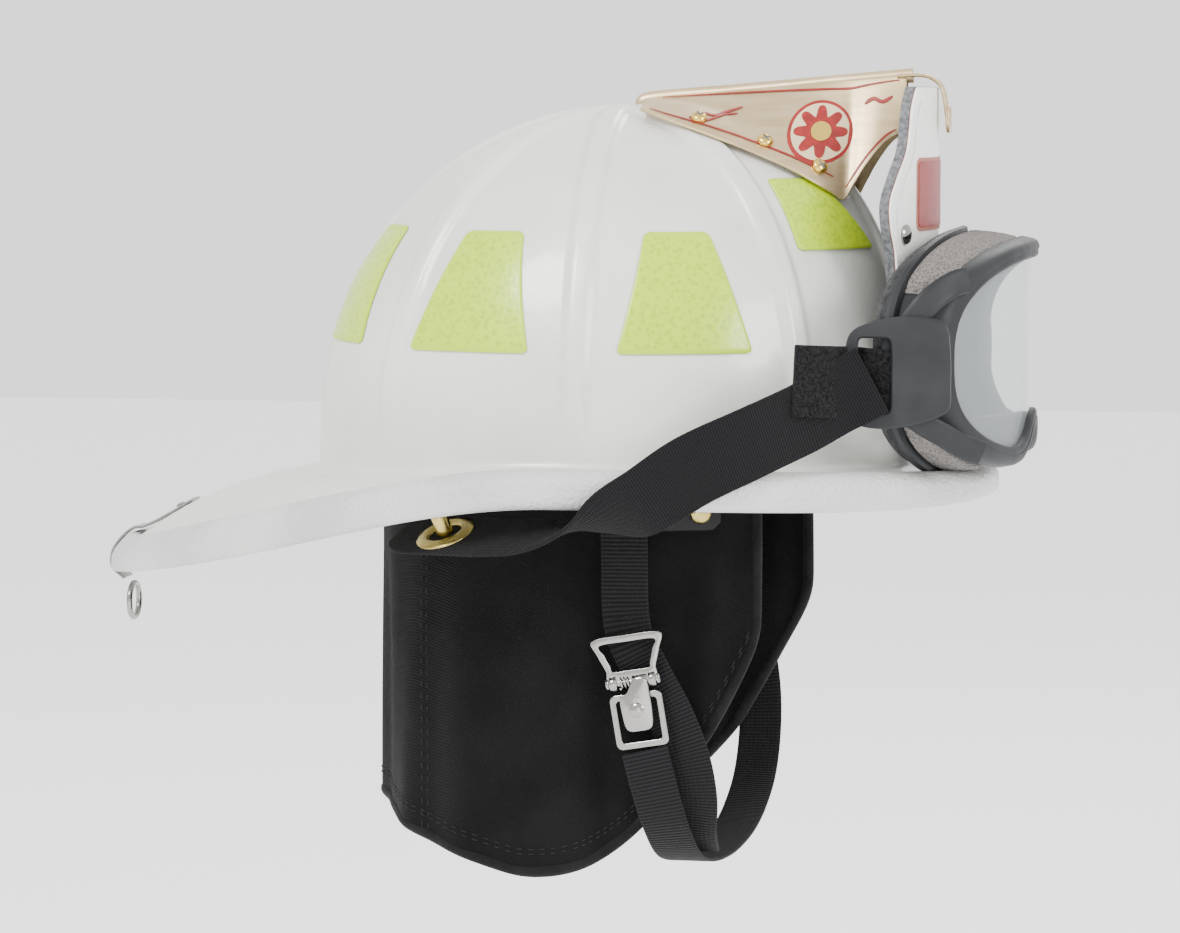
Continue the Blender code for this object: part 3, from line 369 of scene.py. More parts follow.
def webbing_look():
    return webbing("webbing_black", (0.0028, 0.0028, 0.0033), (0.011, 0.011, 0.012), 0.0019, 0.0016)


def elastic_look():
    return webbing("elastic_black", (0.0022, 0.0022, 0.0028), (0.0085, 0.0085, 0.0095), 0.0024, 0.0011)


def webbing(name, dark, light, ribs, rows):
    """Woven tape: ribs run along it and weft rows cross it; both are spacings in metres."""
    look = Look(name, light, 0.85, Specular_IOR_Level=0.15, Sheen_Weight=0.03)
    across, along = look.wave(ribs, "X"), look.wave(rows, "Y", distortion=0.4)
    look.colour(along, dark, light, 0.1, 0.8)
    look.bump(along, 0.00035).bump(across, 0.00016).bump(look.noise(300, 3), 0.0002)
    return look


def make_looks():
    makers = {
        "shell": shell_look,
        "trim": trim_look,
        "marker": marker_look,
        "marker_edge": marker_edge_look,
        "brass": brass_look,
        "brass_bright": brass_bright_look,
        "eyelet": eyelet_look,
        "red": red_look,
        "cream": cream_look,
        "face": face_look,
        "core": core_look,
        "tan": tan_look,
        "slate": slate_look,
        "foam": foam_look,
        "pad": pad_look,
        "lens": lens_look,
        "webbing": webbing_look,
        "elastic": elastic_look,
        "hook": hook_look,
        "cloth": cloth_look,
        "binding": binding_look,
        "thread": thread_look,
        "pale_thread": pale_thread_look,
        "nickel": nickel_look,
        "polymer": polymer_look,
        "cap": cap_look,
    }
    return {name: maker().material for name, maker in makers.items()}


# ---------------------------------------------------------------- mesh helpers

def make_object(name, bm, materials, slot_name=None, sharp=38):
    mesh = bpy.data.meshes.new(name)
    bm.to_mesh(mesh)
    bm.free()
    mesh.shade_smooth()
    mesh.set_sharp_from_angle(angle=math.radians(sharp))
    for material in materials:
        mesh.materials.append(material)
    obj = bpy.data.objects.new(name, mesh)
    bpy.context.collection.objects.link(obj)
    if slot_name:
        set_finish(obj, slot_name)
    return obj


def skin(name, rings, materials, loop=False, slot_name=None, index=None, sharp=38):
    """Skin point rings into a tube or panel with UVs in metres; index(i, j) picks the material."""
    bm = bmesh.new()
    uv = bm.loops.layers.uv.new("UVMap")
    verts = [[bm.verts.new(point) for point in ring] for ring in rings]
    count, total = len(rings[0]), len(rings)
    around = [0.0]
    for j in range(count):
        around.append(around[-1] + (Vector(rings[0][(j + 1) % count]) - Vector(rings[0][j])).length)
    along = [0.0]
    for i in range(total):
        along.append(along[-1] + (Vector(rings[(i + 1) % total][0]) - Vector(rings[i][0])).length)
    for i in range(total if loop else total - 1):
        for j in range(count):
            low, high = verts[i], verts[(i + 1) % total]
            k = (j + 1) % count
            face = bm.faces.new((low[j], low[k], high[k], high[j]))
            corners = ((j, i), (j + 1, i), (j + 1, i + 1), (j, i + 1))
            for corner, (a, b) in zip(face.loops, corners):
                corner[uv].uv = (around[a], along[b])
            if index:
                face.material_index = index(i, j)
    if not loop:
        bm.faces.new(verts[0])
        bm.faces.new(verts[-1])
    bmesh.ops.recalc_face_normals(bm, faces=bm.faces)
    return make_object(name, bm, materials, slot_name, sharp)


def fill_rings(bm, rings, middle):
    """Faces between closed rings of vertices, from the outer ring in to a middle vertex."""
    count = len(rings[0])
    for outer, inner in zip(rings, rings[1:]):
        for k in range(count):
            j = (k + 1) % count
            bm.faces.new((outer[k], outer[j], inner[j], inner[k]))
    for k in range(count):
        bm.faces.new((rings[-1][k], rings[-1][(k + 1) % count], middle))


def film(name, bm, material, slot_name, thick, offset=-1.0):
    """Turns a filled outline into a thin film."""
    bmesh.ops.recalc_face_normals(bm, faces=bm.faces)
    patch = make_object(name, bm, [material], slot_name)
    solid = patch.modifiers.new("film", "SOLIDIFY")
    solid.thickness = thick
    solid.offset = offset
    return patch


def ride(obj, body, *nodes):
    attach(obj, body)
    if nodes:
        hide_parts(*nodes)
    return obj


def smooth_path(points, steps):
    """Points along a Catmull-Rom curve through the given points."""
    points = [Vector(point) for point in points]
    path = []
    for i in range(len(points) - 1):
        before, after = points[max(i - 1, 0)], points[min(i + 2, len(points) - 1)]
        start, end = points[i], points[i + 1]
        for k in range(steps):
            t = k / steps
            path.append(0.5 * (2 * start + (end - before) * t
                               + (2 * before - 5 * start + 4 * end - after) * t * t
                               + (3 * start - before - 3 * end + after) * t ** 3))
    path.append(points[-1])
    return path


def path_length(path):
    return sum((b - a).length for a, b in zip(path, path[1:]))


def smoothstep(t):
    t = min(max(t, 0.0), 1.0)
    return t * t * (3 - 2 * t)


def tangents(path, loop=False):
    total = len(path)
    made = []
    for k in range(total):
        if loop:
            step = path[(k + 1) % total] - path[k - 1]
        else:
            step = path[min(k + 1, total - 1)] - path[max(k - 1, 0)]
        made.append(step.normalized())
    return made


def tape_section(width, thick, across=8):
    """Closed outline of a tape with soft edges."""
    top = []
    for k in range(across + 1):
        share = math.cos(math.pi * k / across)
        edge = min(1.0, (1 - abs(share)) * width / 2 / (thick * 0.6))
        top.append((share * width / 2, thick / 2 * math.sqrt(max(1 - (1 - edge) ** 2, 0.10))))
    return top + [(a, -b) for a, b in reversed(top)]


def tape(name, path, ups, width, thick, material, slot_name=None, across=8):
    """A tape along the path; ups point across its width."""
    rings = []
    for point, tangent, up in zip(path, tangents(path), ups):
        up = (up - tangent * up.dot(tangent)).normalized()
        out = tangent.cross(up)
        rings.append([point + up * a + out * b for a, b in tape_section(width, thick, across)])
    return skin(name, rings, [material], slot_name=slot_name, sharp=60)


def tube(name, path, radius, material, sides=10, loop=False, slot_name=None, up=None):
    """A round rod along the path, with a steady frame."""
    rings = []
    side = Vector(up) if up else Vector((0.31, 0.22, 0.92))
    for point, tangent in zip(path, tangents(path, loop)):
        side = side - tangent * side.dot(tangent)
        if side.length < 0.05:
            side = tangent.cross(Vector((0.9, 0.3, 0.1)))
        side = side.normalized()
        other = side.cross(tangent).normalized()
        rings.append([point + side * (radius * math.cos(TAU * k / sides))
                      + other * (radius * math.sin(TAU * k / sides)) for k in range(sides)])
    return skin(name, rings, [material], loop=loop, slot_name=slot_name, sharp=70)


def aim(location, direction):
    """A matrix that stands +Z along the direction at the location."""
    turn = Vector(direction).to_track_quat("Z", "Y").to_matrix().to_4x4()
    return Matrix.Translation(location) @ turn


def lathe(name, profile, matrix, material, sides=48, slot_name=None, loop=False):
    """Solid of revolution from (radius, height) pairs about the matrix's Z."""
    rings = []
    for radius, height in profile:
        rings.append([matrix @ Vector((radius * math.cos(TAU * k / sides),
                                       radius * math.sin(TAU * k / sides), height))
                      for k in range(sides)])
    return skin(name, rings, [material], loop=loop, slot_name=slot_name, sharp=50)


def slab(name, outline, depth, matrix, material, bevel=0.0004, slot_name=None):
    """Flat plate with bevelled edges; the outline is (a, b) in the matrix's XY, depth along Z."""
    bm = bmesh.new()
    low = [bm.verts.new(matrix @ Vector((a, b, 0.0))) for a, b in outline]
    high = [bm.verts.new(matrix @ Vector((a, b, depth))) for a, b in outline]
    count = len(outline)
    bm.faces.new(low[::-1])
    bm.faces.new(high)
    for k in range(count):
        j = (k + 1) % count
        bm.faces.new((low[k], low[j], high[j], high[k]))
    bmesh.ops.recalc_face_normals(bm, faces=bm.faces)
    obj = make_object(name, bm, [material], slot_name)
    if bevel:
        soften(obj, bevel)
    return obj


def soften(obj, width):
    bevel = obj.modifiers.new("soft_edges", "BEVEL")
    bevel.width = width
    bevel.segments = 3
    bevel.limit_method = "ANGLE"
    bevel.angle_limit = math.radians(35)
    return obj


def block(name, low, high, material, bevel=0.001, slot_name=None, matrix=None):
    outline = ((low[0], low[1]), (high[0], low[1]), (high[0], high[1]), (low[0], high[1]))
    base = (matrix or Matrix.Identity(4)) @ Matrix.Translation((0, 0, low[2]))
    return slab(name, outline, high[2] - low[2], base, material, bevel, slot_name)


def join(name, pieces):
    """Joins pieces into the first one; modifiers are baked first."""
    graph = bpy.context.evaluated_depsgraph_get()
    graph.update()
    bm = bmesh.new()
    materials = []
    for piece in pieces:
        mesh = bpy.data.meshes.new_from_object(piece.evaluated_get(graph))
        mesh.transform(piece.matrix_world)
        order = []
        for material in mesh.materials:
            if material not in materials:
                materials.append(material)
            order.append(materials.index(material))
        for polygon in mesh.polygons:
            polygon.material_index = order[polygon.material_index] if order else 0
        bm.from_mesh(mesh)
        bpy.data.meshes.remove(mesh)
    slot_name = pieces[0].get("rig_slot")
    for piece in pieces:
        bpy.data.objects.remove(piece)
    return make_object(name, bm, materials, slot_name)


# ---------------------------------------------------------------- shell and brim

DOME_HEIGHT, DOME_FRONT, DOME_REAR, DOME_SIDE = 0.149, 0.121, 0.129, 0.108
SHELL_WALL, RIB_RAISE = 0.003, 0.002
RIB_ANGLES = (0, 40, 90, 135, 180, 225, 270, 320)
BRIM_FRONT, BRIM_REAR, BRIM_SIDE = 0.1613, 0.2215, 0.146
BRIM_FRONT_DROP, BRIM_SIDE_DROP, BRIM_REAR_DROP = 0.0067, 0.0010, 0.046
TRIM_HALF_SIDE, TRIM_HALF_END, TRIM_DEPTH, TRIM_SLOT = 0.0080, 0.0058, 0.010, 0.0042
COLUMNS = 432


def half_ellipse(angle, front, rear, side):
    along = front if math.cos(angle) > 0 else rear
    return 1 / math.hypot(math.cos(angle) / along, math.sin(angle) / side)


def dome_powers(angle):
    fullness = max(math.cos(angle), 0.0) ** 6
    return 1.85 + 1.15 * fullness, 2.40 + 0.60 * fullness


def dome_foot(angle):
    cosine = math.cos(angle)
    return 0.004 - (0.004 if cosine > 0 else 0.009) * cosine * cosine


def dome_radius(angle, inset=0.0):
    return half_ellipse(angle, DOME_FRONT, DOME_REAR, DOME_SIDE) - inset


def dome_point(angle, turn, inset=0.0):
    """Point on the dome; turn runs from 0 at the crown to 1 at the foot."""
    wide, tall = dome_powers(angle)
    foot = dome_foot(angle)
    radius = dome_radius(angle, inset) * math.sin(turn * math.pi / 2) ** (2 / wide)
    drop = max(math.cos(turn * math.pi / 2), 0) ** (2 / tall)
    return radius, foot + (DOME_HEIGHT - inset - foot) * drop


def dome_at_height(angle, height, inset=0.0):
    wide, tall = dome_powers(angle)
    foot = dome_foot(angle)
    share = (height - foot) / (DOME_HEIGHT - inset - foot)
    radius = dome_radius(angle, inset) * (1 - share ** tall) ** (1 / wide)
    return polar(angle, radius, height)


def dome_top(x, y, inset=0.0):
    angle = math.atan2(y, x)
    wide, tall = dome_powers(angle)
    foot = dome_foot(angle)
    share = 1 - (math.hypot(x, y) / dome_radius(angle, inset)) ** wide
    return foot + (DOME_HEIGHT - inset - foot) * max(share, 0) ** (1 / tall)


def brim_radius(angle):
    return half_ellipse(angle, BRIM_FRONT, BRIM_REAR, BRIM_SIDE)


def brim_edge(angle):
    turn = abs(math.remainder(angle, TAU))
    side = BRIM_SIDE_DROP - BRIM_FRONT_DROP
    front = -BRIM_FRONT_DROP - side * math.sin(min(turn, math.pi / 2)) ** 2
    start = math.radians(92)
    return front - (BRIM_REAR_DROP - BRIM_SIDE_DROP) * smoothstep((turn - start) / (math.pi - start))


def brim_height(angle, radius):
    foot = dome_foot(angle) - SHELL_WALL / 2
    share = (radius - dome_radius(angle)) / (brim_radius(angle) - dome_radius(angle))
    return foot + (brim_edge(angle) - foot) * max(share, 0) ** 2


def polar(angle, radius, height):
    return Vector((radius * math.cos(angle), radius * math.sin(angle), height))


def rib_raise(angle, radius):
    """Height of the soft ribs pressed into the dome."""
    nearest = min(abs(math.remainder(angle - math.radians(rib), TAU)) for rib in RIB_ANGLES)
    return RIB_RAISE * 1.25 * (1 - smoothstep((nearest * radius - 0.0030) / 0.0036))


def shell_profile(angle):
    """One section of the shell, from the crown over the brim and back inside."""
    fillet = 0.0055
    points = []
    for k in range(1, 61):
        turn = 0.985 * (k / 60) ** 0.9
        radius, height = dome_point(angle, turn)
        raised = rib_raise(angle, radius) * (1 - smoothstep((turn - 0.90) / 0.085))
        normal_up = height / DOME_HEIGHT
        points.append((radius + raised * math.sqrt(max(1 - normal_up ** 2, 0)), height + raised * normal_up))
    foot, base = dome_foot(angle), dome_radius(angle)
    for k in range(1, 7):
        bend = math.pi / 2 * k / 6
        points.append((base + fillet * (1 - math.cos(bend)), foot + fillet * (1 - math.sin(bend))))
    outer = brim_radius(angle) - TRIM_SLOT - 0.0003
    for k in range(1, 13):
        radius = base + fillet + (outer - base - fillet) * k / 12
        points.append((radius, brim_height(angle, radius) + SHELL_WALL / 2))
    inner = base - SHELL_WALL
    for k in range(13):
        radius = outer + (inner - outer) * k / 12
        points.append((radius, brim_height(angle, radius) - SHELL_WALL / 2))
    for k in range(25, 0, -1):
        points.append(dome_point(angle, 0.97 * k / 25, SHELL_WALL))
    return points


def make_shell(looks):
    angles = [TAU * k / COLUMNS for k in range(COLUMNS)]
    profiles = [shell_profile(angle) for angle in angles]
    rings = []
    for row in range(len(profiles[0])):
        rings.append([polar(a, *profile[row]) for a, profile in zip(angles, profiles)])
    shell = skin("shell_skin", rings, [looks["shell"]], slot_name="shell_white", sharp=50)
    ride(shell, "helmet", "shell")


def trim_outline(angle):
    turn = abs(math.sin(angle))
    half = TRIM_HALF_END + (TRIM_HALF_SIDE - TRIM_HALF_END) * smoothstep(turn * 1.3)
    lip, slot = 0.0036, SHELL_WALL / 2 + 0.0004
    upper = [(-TRIM_DEPTH, slot), (-TRIM_DEPTH - 0.0004, (slot + lip) / 2), (-TRIM_DEPTH, lip)]
    for k in range(13):
        bend = math.pi / 2 * k / 12
        upper.append((-0.0072 + 0.0072 * math.sin(bend) ** 0.9, half * math.cos(bend) ** 0.62))
    lower = [(a, -b) for a, b in reversed(upper[:-1])]
    return upper + lower + [(-TRIM_SLOT, -slot), (-TRIM_SLOT, slot)]


def make_trim(looks):
    rings = []
    for k in range(COLUMNS):
        angle = TAU * k / COLUMNS
        edge = brim_radius(angle)
        rings.append([polar(angle, edge + along, brim_height(angle, edge + along) + up)
                      for along, up in trim_outline(angle)])
    trim = skin("brim_trim_skin", rings, [looks["trim"]], loop=True, slot_name="trim_white", sharp=60)
    ride(trim, "helmet", "brim_trim")


# ---------------------------------------------------------------- markers

MARKERS = {
    "front": (-21, -25, 0.092, 0.121, 0.048, 0.021),
    "mid_front": (-66, -65, 0.0515, 0.100, 0.056, 0.026),
    "mid_rear": (-116, -116, 0.0515, 0.100, 0.056, 0.026),
    "rear": (-161, -158, 0.0525, 0.101, 0.056, 0.026),
}


def marker_point(spec, across, up, side, lift):
    foot_angle, head_angle, foot, head, wide, narrow = spec
    height = foot + (head - foot) * up
    centre = math.radians(foot_angle + (head_angle - foot_angle) * up)
    half = (wide + (narrow - wide) * up) / 2
    end = min(up, 1 - up) * (head - foot)
    corner = 0.0022
    if end < corner:
        half -= corner - math.sqrt(max(corner ** 2 - (corner - end) ** 2, 0.0))
    radius = math.hypot(*dome_at_height(centre, height).xy)
    return dome_at_height(side * (centre + across * half / radius), height, -lift)


def marker_shares(count, border):
    inner = [border + (1 - 2 * border) * k / count for k in range(count + 1)]
    return [0.0, border * 0.4, *inner, 1 - border * 0.4, 1.0]


def marker_film(looks, name, spec, side):
    """One marker: a lime face with a narrow sealed border."""
    ups, acrosses = marker_shares(18, 0.045), marker_shares(20, 0.03)
    rings = []
    for up in ups:
        front, back = [], []
        for share in acrosses:
            edge = min(up, 1 - up) < 1e-6 or min(share, 1 - share) < 1e-6
            lift = 0.0008 if edge else 0.0011
            front.append(marker_point(spec, 2 * share - 1, up, side, lift))
            back.append(marker_point(spec, 2 * share - 1, up, side, 0.0003))
        rings.append(front + back[::-1])
    last_up, last_across = len(ups) - 3, len(acrosses) - 3

    def border(i, j):
        return 0 if 2 <= i < last_up and 2 <= j < last_across else 1

    return skin(name, rings, [looks["marker"], looks["marker_edge"]], slot_name="marker_lime", index=border)


def make_markers(looks):
    for side, side_name in SIDES:
        for place, spec in MARKERS.items():
            marker = marker_film(looks, f"marker_film_{side_name}_{place}", spec, side)
            ride(marker, "helmet", f"marker_{side_name}_{place}")


# ---------------------------------------------------------------- brass holder

HOLDER_LIFT, HOLDER_SHEET, RIDGE_HALF = 0.0046, 0.0012, 0.0025
HOLDER_SEATED = ((0.0125, 0.024), (0.024, 0.031), (0.038, 0.036), (0.052, 0.0385), (0.066, 0.0385),
                 (0.079, 0.036), (0.088, 0.0325), (0.0945, 0.028))
HOLDER_FREE = ((0.0985, -0.0248, 0.1120), (0.1020, -0.0222, 0.1175), (0.1060, -0.0195, 0.1245),
               (0.1105, -0.0165, 0.1310), (0.1155, -0.0130, 0.1365), (0.1220, -0.0100, 0.1400))
HOLDER_STEPS = 6
HOLDER_SCREWS = ((0.0385, 0.22), (0.066, 0.20), (0.0885, 0.17))


def ridge_height(x):
    return 0.1535 + (0.1632 - 0.1535) * (x - 0.0125) / (0.1220 - 0.0125)


class HolderPlate:
    """The right-hand plate of the folded holder as a smooth surface of x and a share of its height."""

    def __init__(self):
        seated = [Vector((x, -y, dome_top(x, y) + HOLDER_LIFT)) for x, y in HOLDER_SEATED]
        self.hem = smooth_path(seated + [Vector(point) for point in HOLDER_FREE], HOLDER_STEPS)

    def low(self, x):
        for a, b in zip(self.hem, self.hem[1:]):
            if x <= b.x:
                return a.lerp(b, min(max((x - a.x) / (b.x - a.x), 0.0), 1.0))
        return self.hem[-1].copy()

    def from_low(self, low, share):
        point = low.lerp(Vector((low.x, -RIDGE_HALF, ridge_height(low.x))), share)
        point.z = max(point.z, dome_top(point.x, point.y) + HOLDER_LIFT)
        return point

    def at(self, x, share, lift=0.0):
        point = self.from_low(self.low(x), share)
        if not lift:
            return point
        step = 0.0008
        along = self.from_low(self.low(x + step), share) - self.from_low(self.low(x - step), share)
        up = self.from_low(self.low(x), min(share + 0.03, 1)) - self.from_low(self.low(x), share - 0.03)
        normal = along.cross(up).normalized()
        if normal.y > 0:
            normal = -normal
        return point + normal * lift

    def share_at(self, x, height):
        """Share of the plate's height at which its surface reaches a height."""
        low, high = 0.0, 1.0
        for _ in range(24):
            middle = (low + high) / 2
            if self.from_low(self.low(x), middle).z < height:
                low = middle
            else:
                high = middle
        return (low + high) / 2


def mirrored(points, side):
    return [Vector((p.x, p.y * side, p.z)) for p in points]


def holder_stroke(name, plate, points, width, material, side, lift=0.0009):
    """A thin painted line on the holder plate; the points are (x, height)."""
    smooth = smooth_path([(x, 0, z) for x, z in points], 5)
    centre = [plate.at(p.x, plate.share_at(p.x, p.z), lift) for p in smooth]
    rings = []
    for k, (point, tangent) in enumerate(zip(centre, tangents(centre))):
        above = plate.at(point.x, min(plate.share_at(point.x, smooth[k].z) + 0.03, 1.0), lift)
        up = above - point
        up = up - tangent * up.dot(tangent)
        if up.length < 1e-6:
            up = Vector((0, 0, 1))
        taper = min(1.0, 0.35 + 4 * min(k, len(centre) - 1 - k) / len(centre))
        up = up.normalized() * (width * taper / 2)
        out = tangent.cross(up).normalized() * 0.00012
        ring = [point + up + out, point - up + out, point - up - out, point + up - out]
        rings.append(mirrored(ring, side))
    return skin(name, rings, [material], slot_name="brass", sharp=60)


def share_line(plate, start, end, share, steps=26):
    xs = [start + (end - start) * k / steps for k in range(steps + 1)]
    return [(x, plate.at(x, share).z) for x in xs]


def holder_patch(name, plate, centre, outline, material, side, lift):
    """A flat painted shape on the plate; the outline is offsets (x, height) around its centre."""
    bm = bmesh.new()

    def spot(dx, dz):
        x = centre[0] + dx
        point = plate.at(x, plate.share_at(x, centre[1] + dz), lift)
        return Vector((point.x, point.y * side, point.z))

    rings = []
    for share in (1.0, 0.66, 0.33):
        rings.append([bm.verts.new(spot(dx * share, dz * share)) for dx, dz in outline])
    fill_rings(bm, rings, bm.verts.new(spot(0, 0)))
    return film(name, bm, material, "brass", 0.00024)


def rosette(radius, petals, depth):
    outline = []
    for k in range(96):
        angle = TAU * k / 96
        wave = 1 - depth * (0.5 - 0.5 * math.cos(petals * angle)) ** 1.5
        outline.append((radius * wave * math.cos(angle), radius * wave * math.sin(angle)))
    return outline


def holder_saddle(plate, brass):
    """Both plates of the folded sheet, from one hem over the ridge to the other."""
    bm = bmesh.new()
    grid = []
    for low in plate.hem:
        right = [plate.from_low(low, k / 12) for k in range(13)]
        grid.append([bm.verts.new(point) for point in right + mirrored(right[::-1], -1)])
    for back, front in zip(grid, grid[1:]):
        for i in range(len(back) - 1):
            bm.faces.new((back[i], back[i + 1], front[i + 1], front[i]))
    saddle = make_object("holder_saddle", bm, [brass], "brass")
    solid = saddle.modifiers.new("thickness", "SOLIDIFY")
    solid.thickness = HOLDER_SHEET
    solid.offset = 0.0
    return soften(saddle, 0.0004)


def holder_bead(brass):
    """Rolled bead along the ridge."""
    ridge = [(0.0115, 0, ridge_height(0.0115) - 0.004)]
    ridge += [(x, 0, ridge_height(x)) for x in (0.0125, 0.05, 0.09, 0.1245)]
    return tube("holder_bead", smooth_path(ridge, 10), 0.0031, brass, 16, slot_name="brass", up=(0, 0, 1))


def holder_finger(brass):
    """Finger hook over the front piece, with its flattened tip."""
    hook = smooth_path(((0.118, 0, 0.1632), (0.128, 0, 0.1634), (0.1330, 0, 0.1620), (0.1364, 0, 0.1587),
                        (0.1380, 0, 0.1530), (0.1392, 0, 0.1440)), 8)
    finger = tape("holder_finger", hook, [Vector((0, 1, 0))] * len(hook), 0.009, 0.0016, brass, "brass")
    outline = [(0.0058 * a, 0.0066 * b) for a, b in rounded(1, 1, 0.8)]
    place = Matrix.Translation((0.1386, 0, 0.1452)) @ Matrix.Rotation(math.pi / 2, 4, "Y")
    return [finger, slab("holder_tip", outline, 0.0016, place, brass, 0.0005, "brass")]


def make_holder(looks):
    plate, brass = HolderPlate(), looks["brass"]
    pieces = [holder_saddle(plate, brass), holder_bead(brass), *holder_finger(brass)]
    ride(join("front_holder_body", pieces), "helmet", "front_holder")
    for side, side_name in SIDES:
        paint_holder(looks, plate, side, side_name)
        for number, (x, share) in enumerate(HOLDER_SCREWS, 1):
            make_screw(looks, plate, x, share, side, f"holder_screw_{side_name}_{number}")


def rounded(half_wide, half_high, corner, steps=6):
    """Rounded rectangle outline."""
    outline = []
    for cx, cy, start in ((1, 1, 0), (-1, 1, 90), (-1, -1, 180), (1, -1, 270)):
        for k in range(steps + 1):
            angle = math.radians(start + 90 * k / steps)
            outline.append((cx * (half_wide - corner) + corner * math.cos(angle),
                            cy * (half_high - corner) + corner * math.sin(angle)))
    return outline


PIN_LINES = ((0.019, 0.119, 0.93, 0.0009), (0.0165, 0.0935, 0.14, 0.0009), (0.0985, 0.1185, 0.10, 0.0008))
EMBLEM_CENTRE = (0.0875, 0.1395)
EMBLEM = (
    ("disc", "red", 0.0132, 0.0, 0.0008),
    ("ring", "cream", 0.0118, 0.0, 0.00105),
    ("petals", "red", 0.0108, 0.42, 0.0013),
    ("heart", "brass_bright", 0.0040, 0.0, 0.0016))
SCROLLS = (
    (0.0016, ((0.034, 0.1452), (0.039, 0.1470), (0.044, 0.1462), (0.049, 0.1478), (0.0545, 0.1496))),
    (0.0011, ((0.036, 0.1432), (0.042, 0.1443), (0.047, 0.1462), (0.053, 0.1470))),
    (0.0016, ((0.105, 0.1512), (0.1085, 0.1535), (0.1125, 0.1522), (0.1165, 0.1545))))


def paint_holder(looks, plate, side, side_name):
    """Painted lines, a plain rosette and plain scrolls on one plate."""
    red = looks["red"]
    pieces = []
    for number, (start, end, share, width) in enumerate(PIN_LINES, 1):
        line = share_line(plate, start, end, share)
        pieces.append(holder_stroke(f"pin_{side_name}_{number}", plate, line, width, red, side))
    for part, colour, radius, depth, lift in EMBLEM:
        outline = rosette(radius, 8, depth)
        pieces.append(holder_patch(f"{part}_{side_name}", plate, EMBLEM_CENTRE, outline, looks[colour],
                                   side, lift))
    for number, (width, points) in enumerate(SCROLLS, 1):
        pieces.append(holder_stroke(f"scroll_{side_name}_{number}", plate, points, width, red, side))
    ride(join(f"holder_paint_{side_name}", pieces), "helmet")


def make_screw(looks, plate, x, share, side, node):
    """Pan-head screw set on the plate; its cross recess is painted shade, two dark bars laid over the head
    in place of a hollow.
    """
    normal = (plate.at(x, share, 0.003) - plate.at(x, share, 0.001)).normalized()
    normal.y *= side
    low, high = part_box(node)
    middle = Vector([(a + b) / 2 for a, b in zip(low, high)])
    matrix = aim(middle - normal * 0.0010, normal)
    profile = ((0.0032, 0.0), (0.0034, 0.0005), (0.0032, 0.0012), (0.0026, 0.0019), (0.0016, 0.0023),
               (0.0004, 0.0024))
    head = lathe(node + "_head", profile, matrix, looks["brass_bright"], 32, "brass")
    # Painted shade: dark bars stand in for the shadowed hollow of the cross recess.
    cross = []
    for angle in (0.3, 0.3 + math.pi / 2):
        recess_shade_bar = block(f"{node}_slot_{angle:.1f}", (-0.0019, -0.0003, 0.0020), (0.0019, 0.0003, 0.00255),
                    looks["core"], 0.0, "brass", matrix @ Matrix.Rotation(angle, 4, "Z"))
        cross.append(recess_shade_bar)
    ride(join(node + "_body", [head, *cross]), "helmet", node)


# ---------------------------------------------------------------- front piece

SHIELD_FACE, SHIELD_THICK, SHIELD_BEND = 0.135, 0.0055, 0.155
SHIELD_OUTLINE = (
    (0.1582, 0.034), (0.158, 0.038), (0.150, 0.043), (0.141, 0.045), (0.132, 0.048), (0.122, 0.056),
    (0.112, 0.062), (0.102, 0.0615), (0.092, 0.058), (0.080, 0.056), (0.066, 0.052), (0.050, 0.045),
    (0.034, 0.034), (0.020, 0.018), (0.012, 0.006), (0.0116, 0.0004))
PANEL_HEIGHT, STAR_HEIGHT = 0.1145, 0.068


def shield_x(y):
    return SHIELD_FACE - SHIELD_THICK / 2 - y * y / (2 * SHIELD_BEND)


def shield_spot(y, z, depth):
    """Point of the front piece, a depth in front of its middle surface."""
    normal = Vector((1.0, y / SHIELD_BEND, 0.0)).normalized()
    return Vector((shield_x(y), y, z)) + normal * depth


def shield_layer(name, inset, back, front, materials, slot_name):
    """One layer of the front piece, thick from back to front, its outline drawn in by inset."""
    outline = smooth_path([(0, half, z) for z, half in SHIELD_OUTLINE], 6)
    rows = []
    middle = 0.085
    for point in outline:
        z = point.z + (middle - point.z) * inset / 0.070
        half = max(point.y - inset, 0.0002)
        row = [shield_spot(half * (k / 10 - 1), z, front) for k in range(21)]
        row += [shield_spot(half * (1 - k / 10), z, back) for k in range(21)]
        rows.append(row)
    layer = skin(name, rows, materials, slot_name=slot_name, sharp=45)
    return layer


def shield_patch(name, outline, depth, thick, material):
    """A flat shape on the face; the outline lists (y, z)."""
    outline = resample(outline, 96)
    bm = bmesh.new()
    cy = sum(y for y, _ in outline) / len(outline)
    cz = sum(z for _, z in outline) / len(outline)
    rings = []
    for share in (1.0, 0.75, 0.5, 0.25):
        rings.append([bm.verts.new(shield_spot(cy + (y - cy) * share, cz + (z - cz) * share, depth))
                      for y, z in outline])
    fill_rings(bm, rings, bm.verts.new(shield_spot(cy, cz, depth)))
    return film(name, bm, material, "leather_white", thick, 0.0)


def shield_stitches(looks):
    """Short thread stitches just inside the edge of the face."""
    outline = smooth_path([(0, half, z) for z, half in SHIELD_OUTLINE[1:-1]], 8)
    stitches = []
    for side in (-1, 1):
        path = []
        for point in outline:
            z = point.z + (0.085 - point.z) * 0.0045 / 0.070
            path.append((side * max(point.y - 0.0045, 0.0), z))
        walked, start = 0.0, path[0]
        for a, b in zip(path, path[1:]):
            walked += math.hypot(b[0] - a[0], b[1] - a[1])
            if walked > 0.0034:
                first, second = shield_spot(*start, 0.00285), shield_spot(*b, 0.00285)
                ends = [first.lerp(second, share) for share in (0.08, 0.3, 0.7, 0.92)]
                stitches.append(tube("stitch", ends, 0.00033, looks["pale_thread"], 6,
                                     slot_name="leather_white"))
                walked, start = 0.0, b
    return stitches


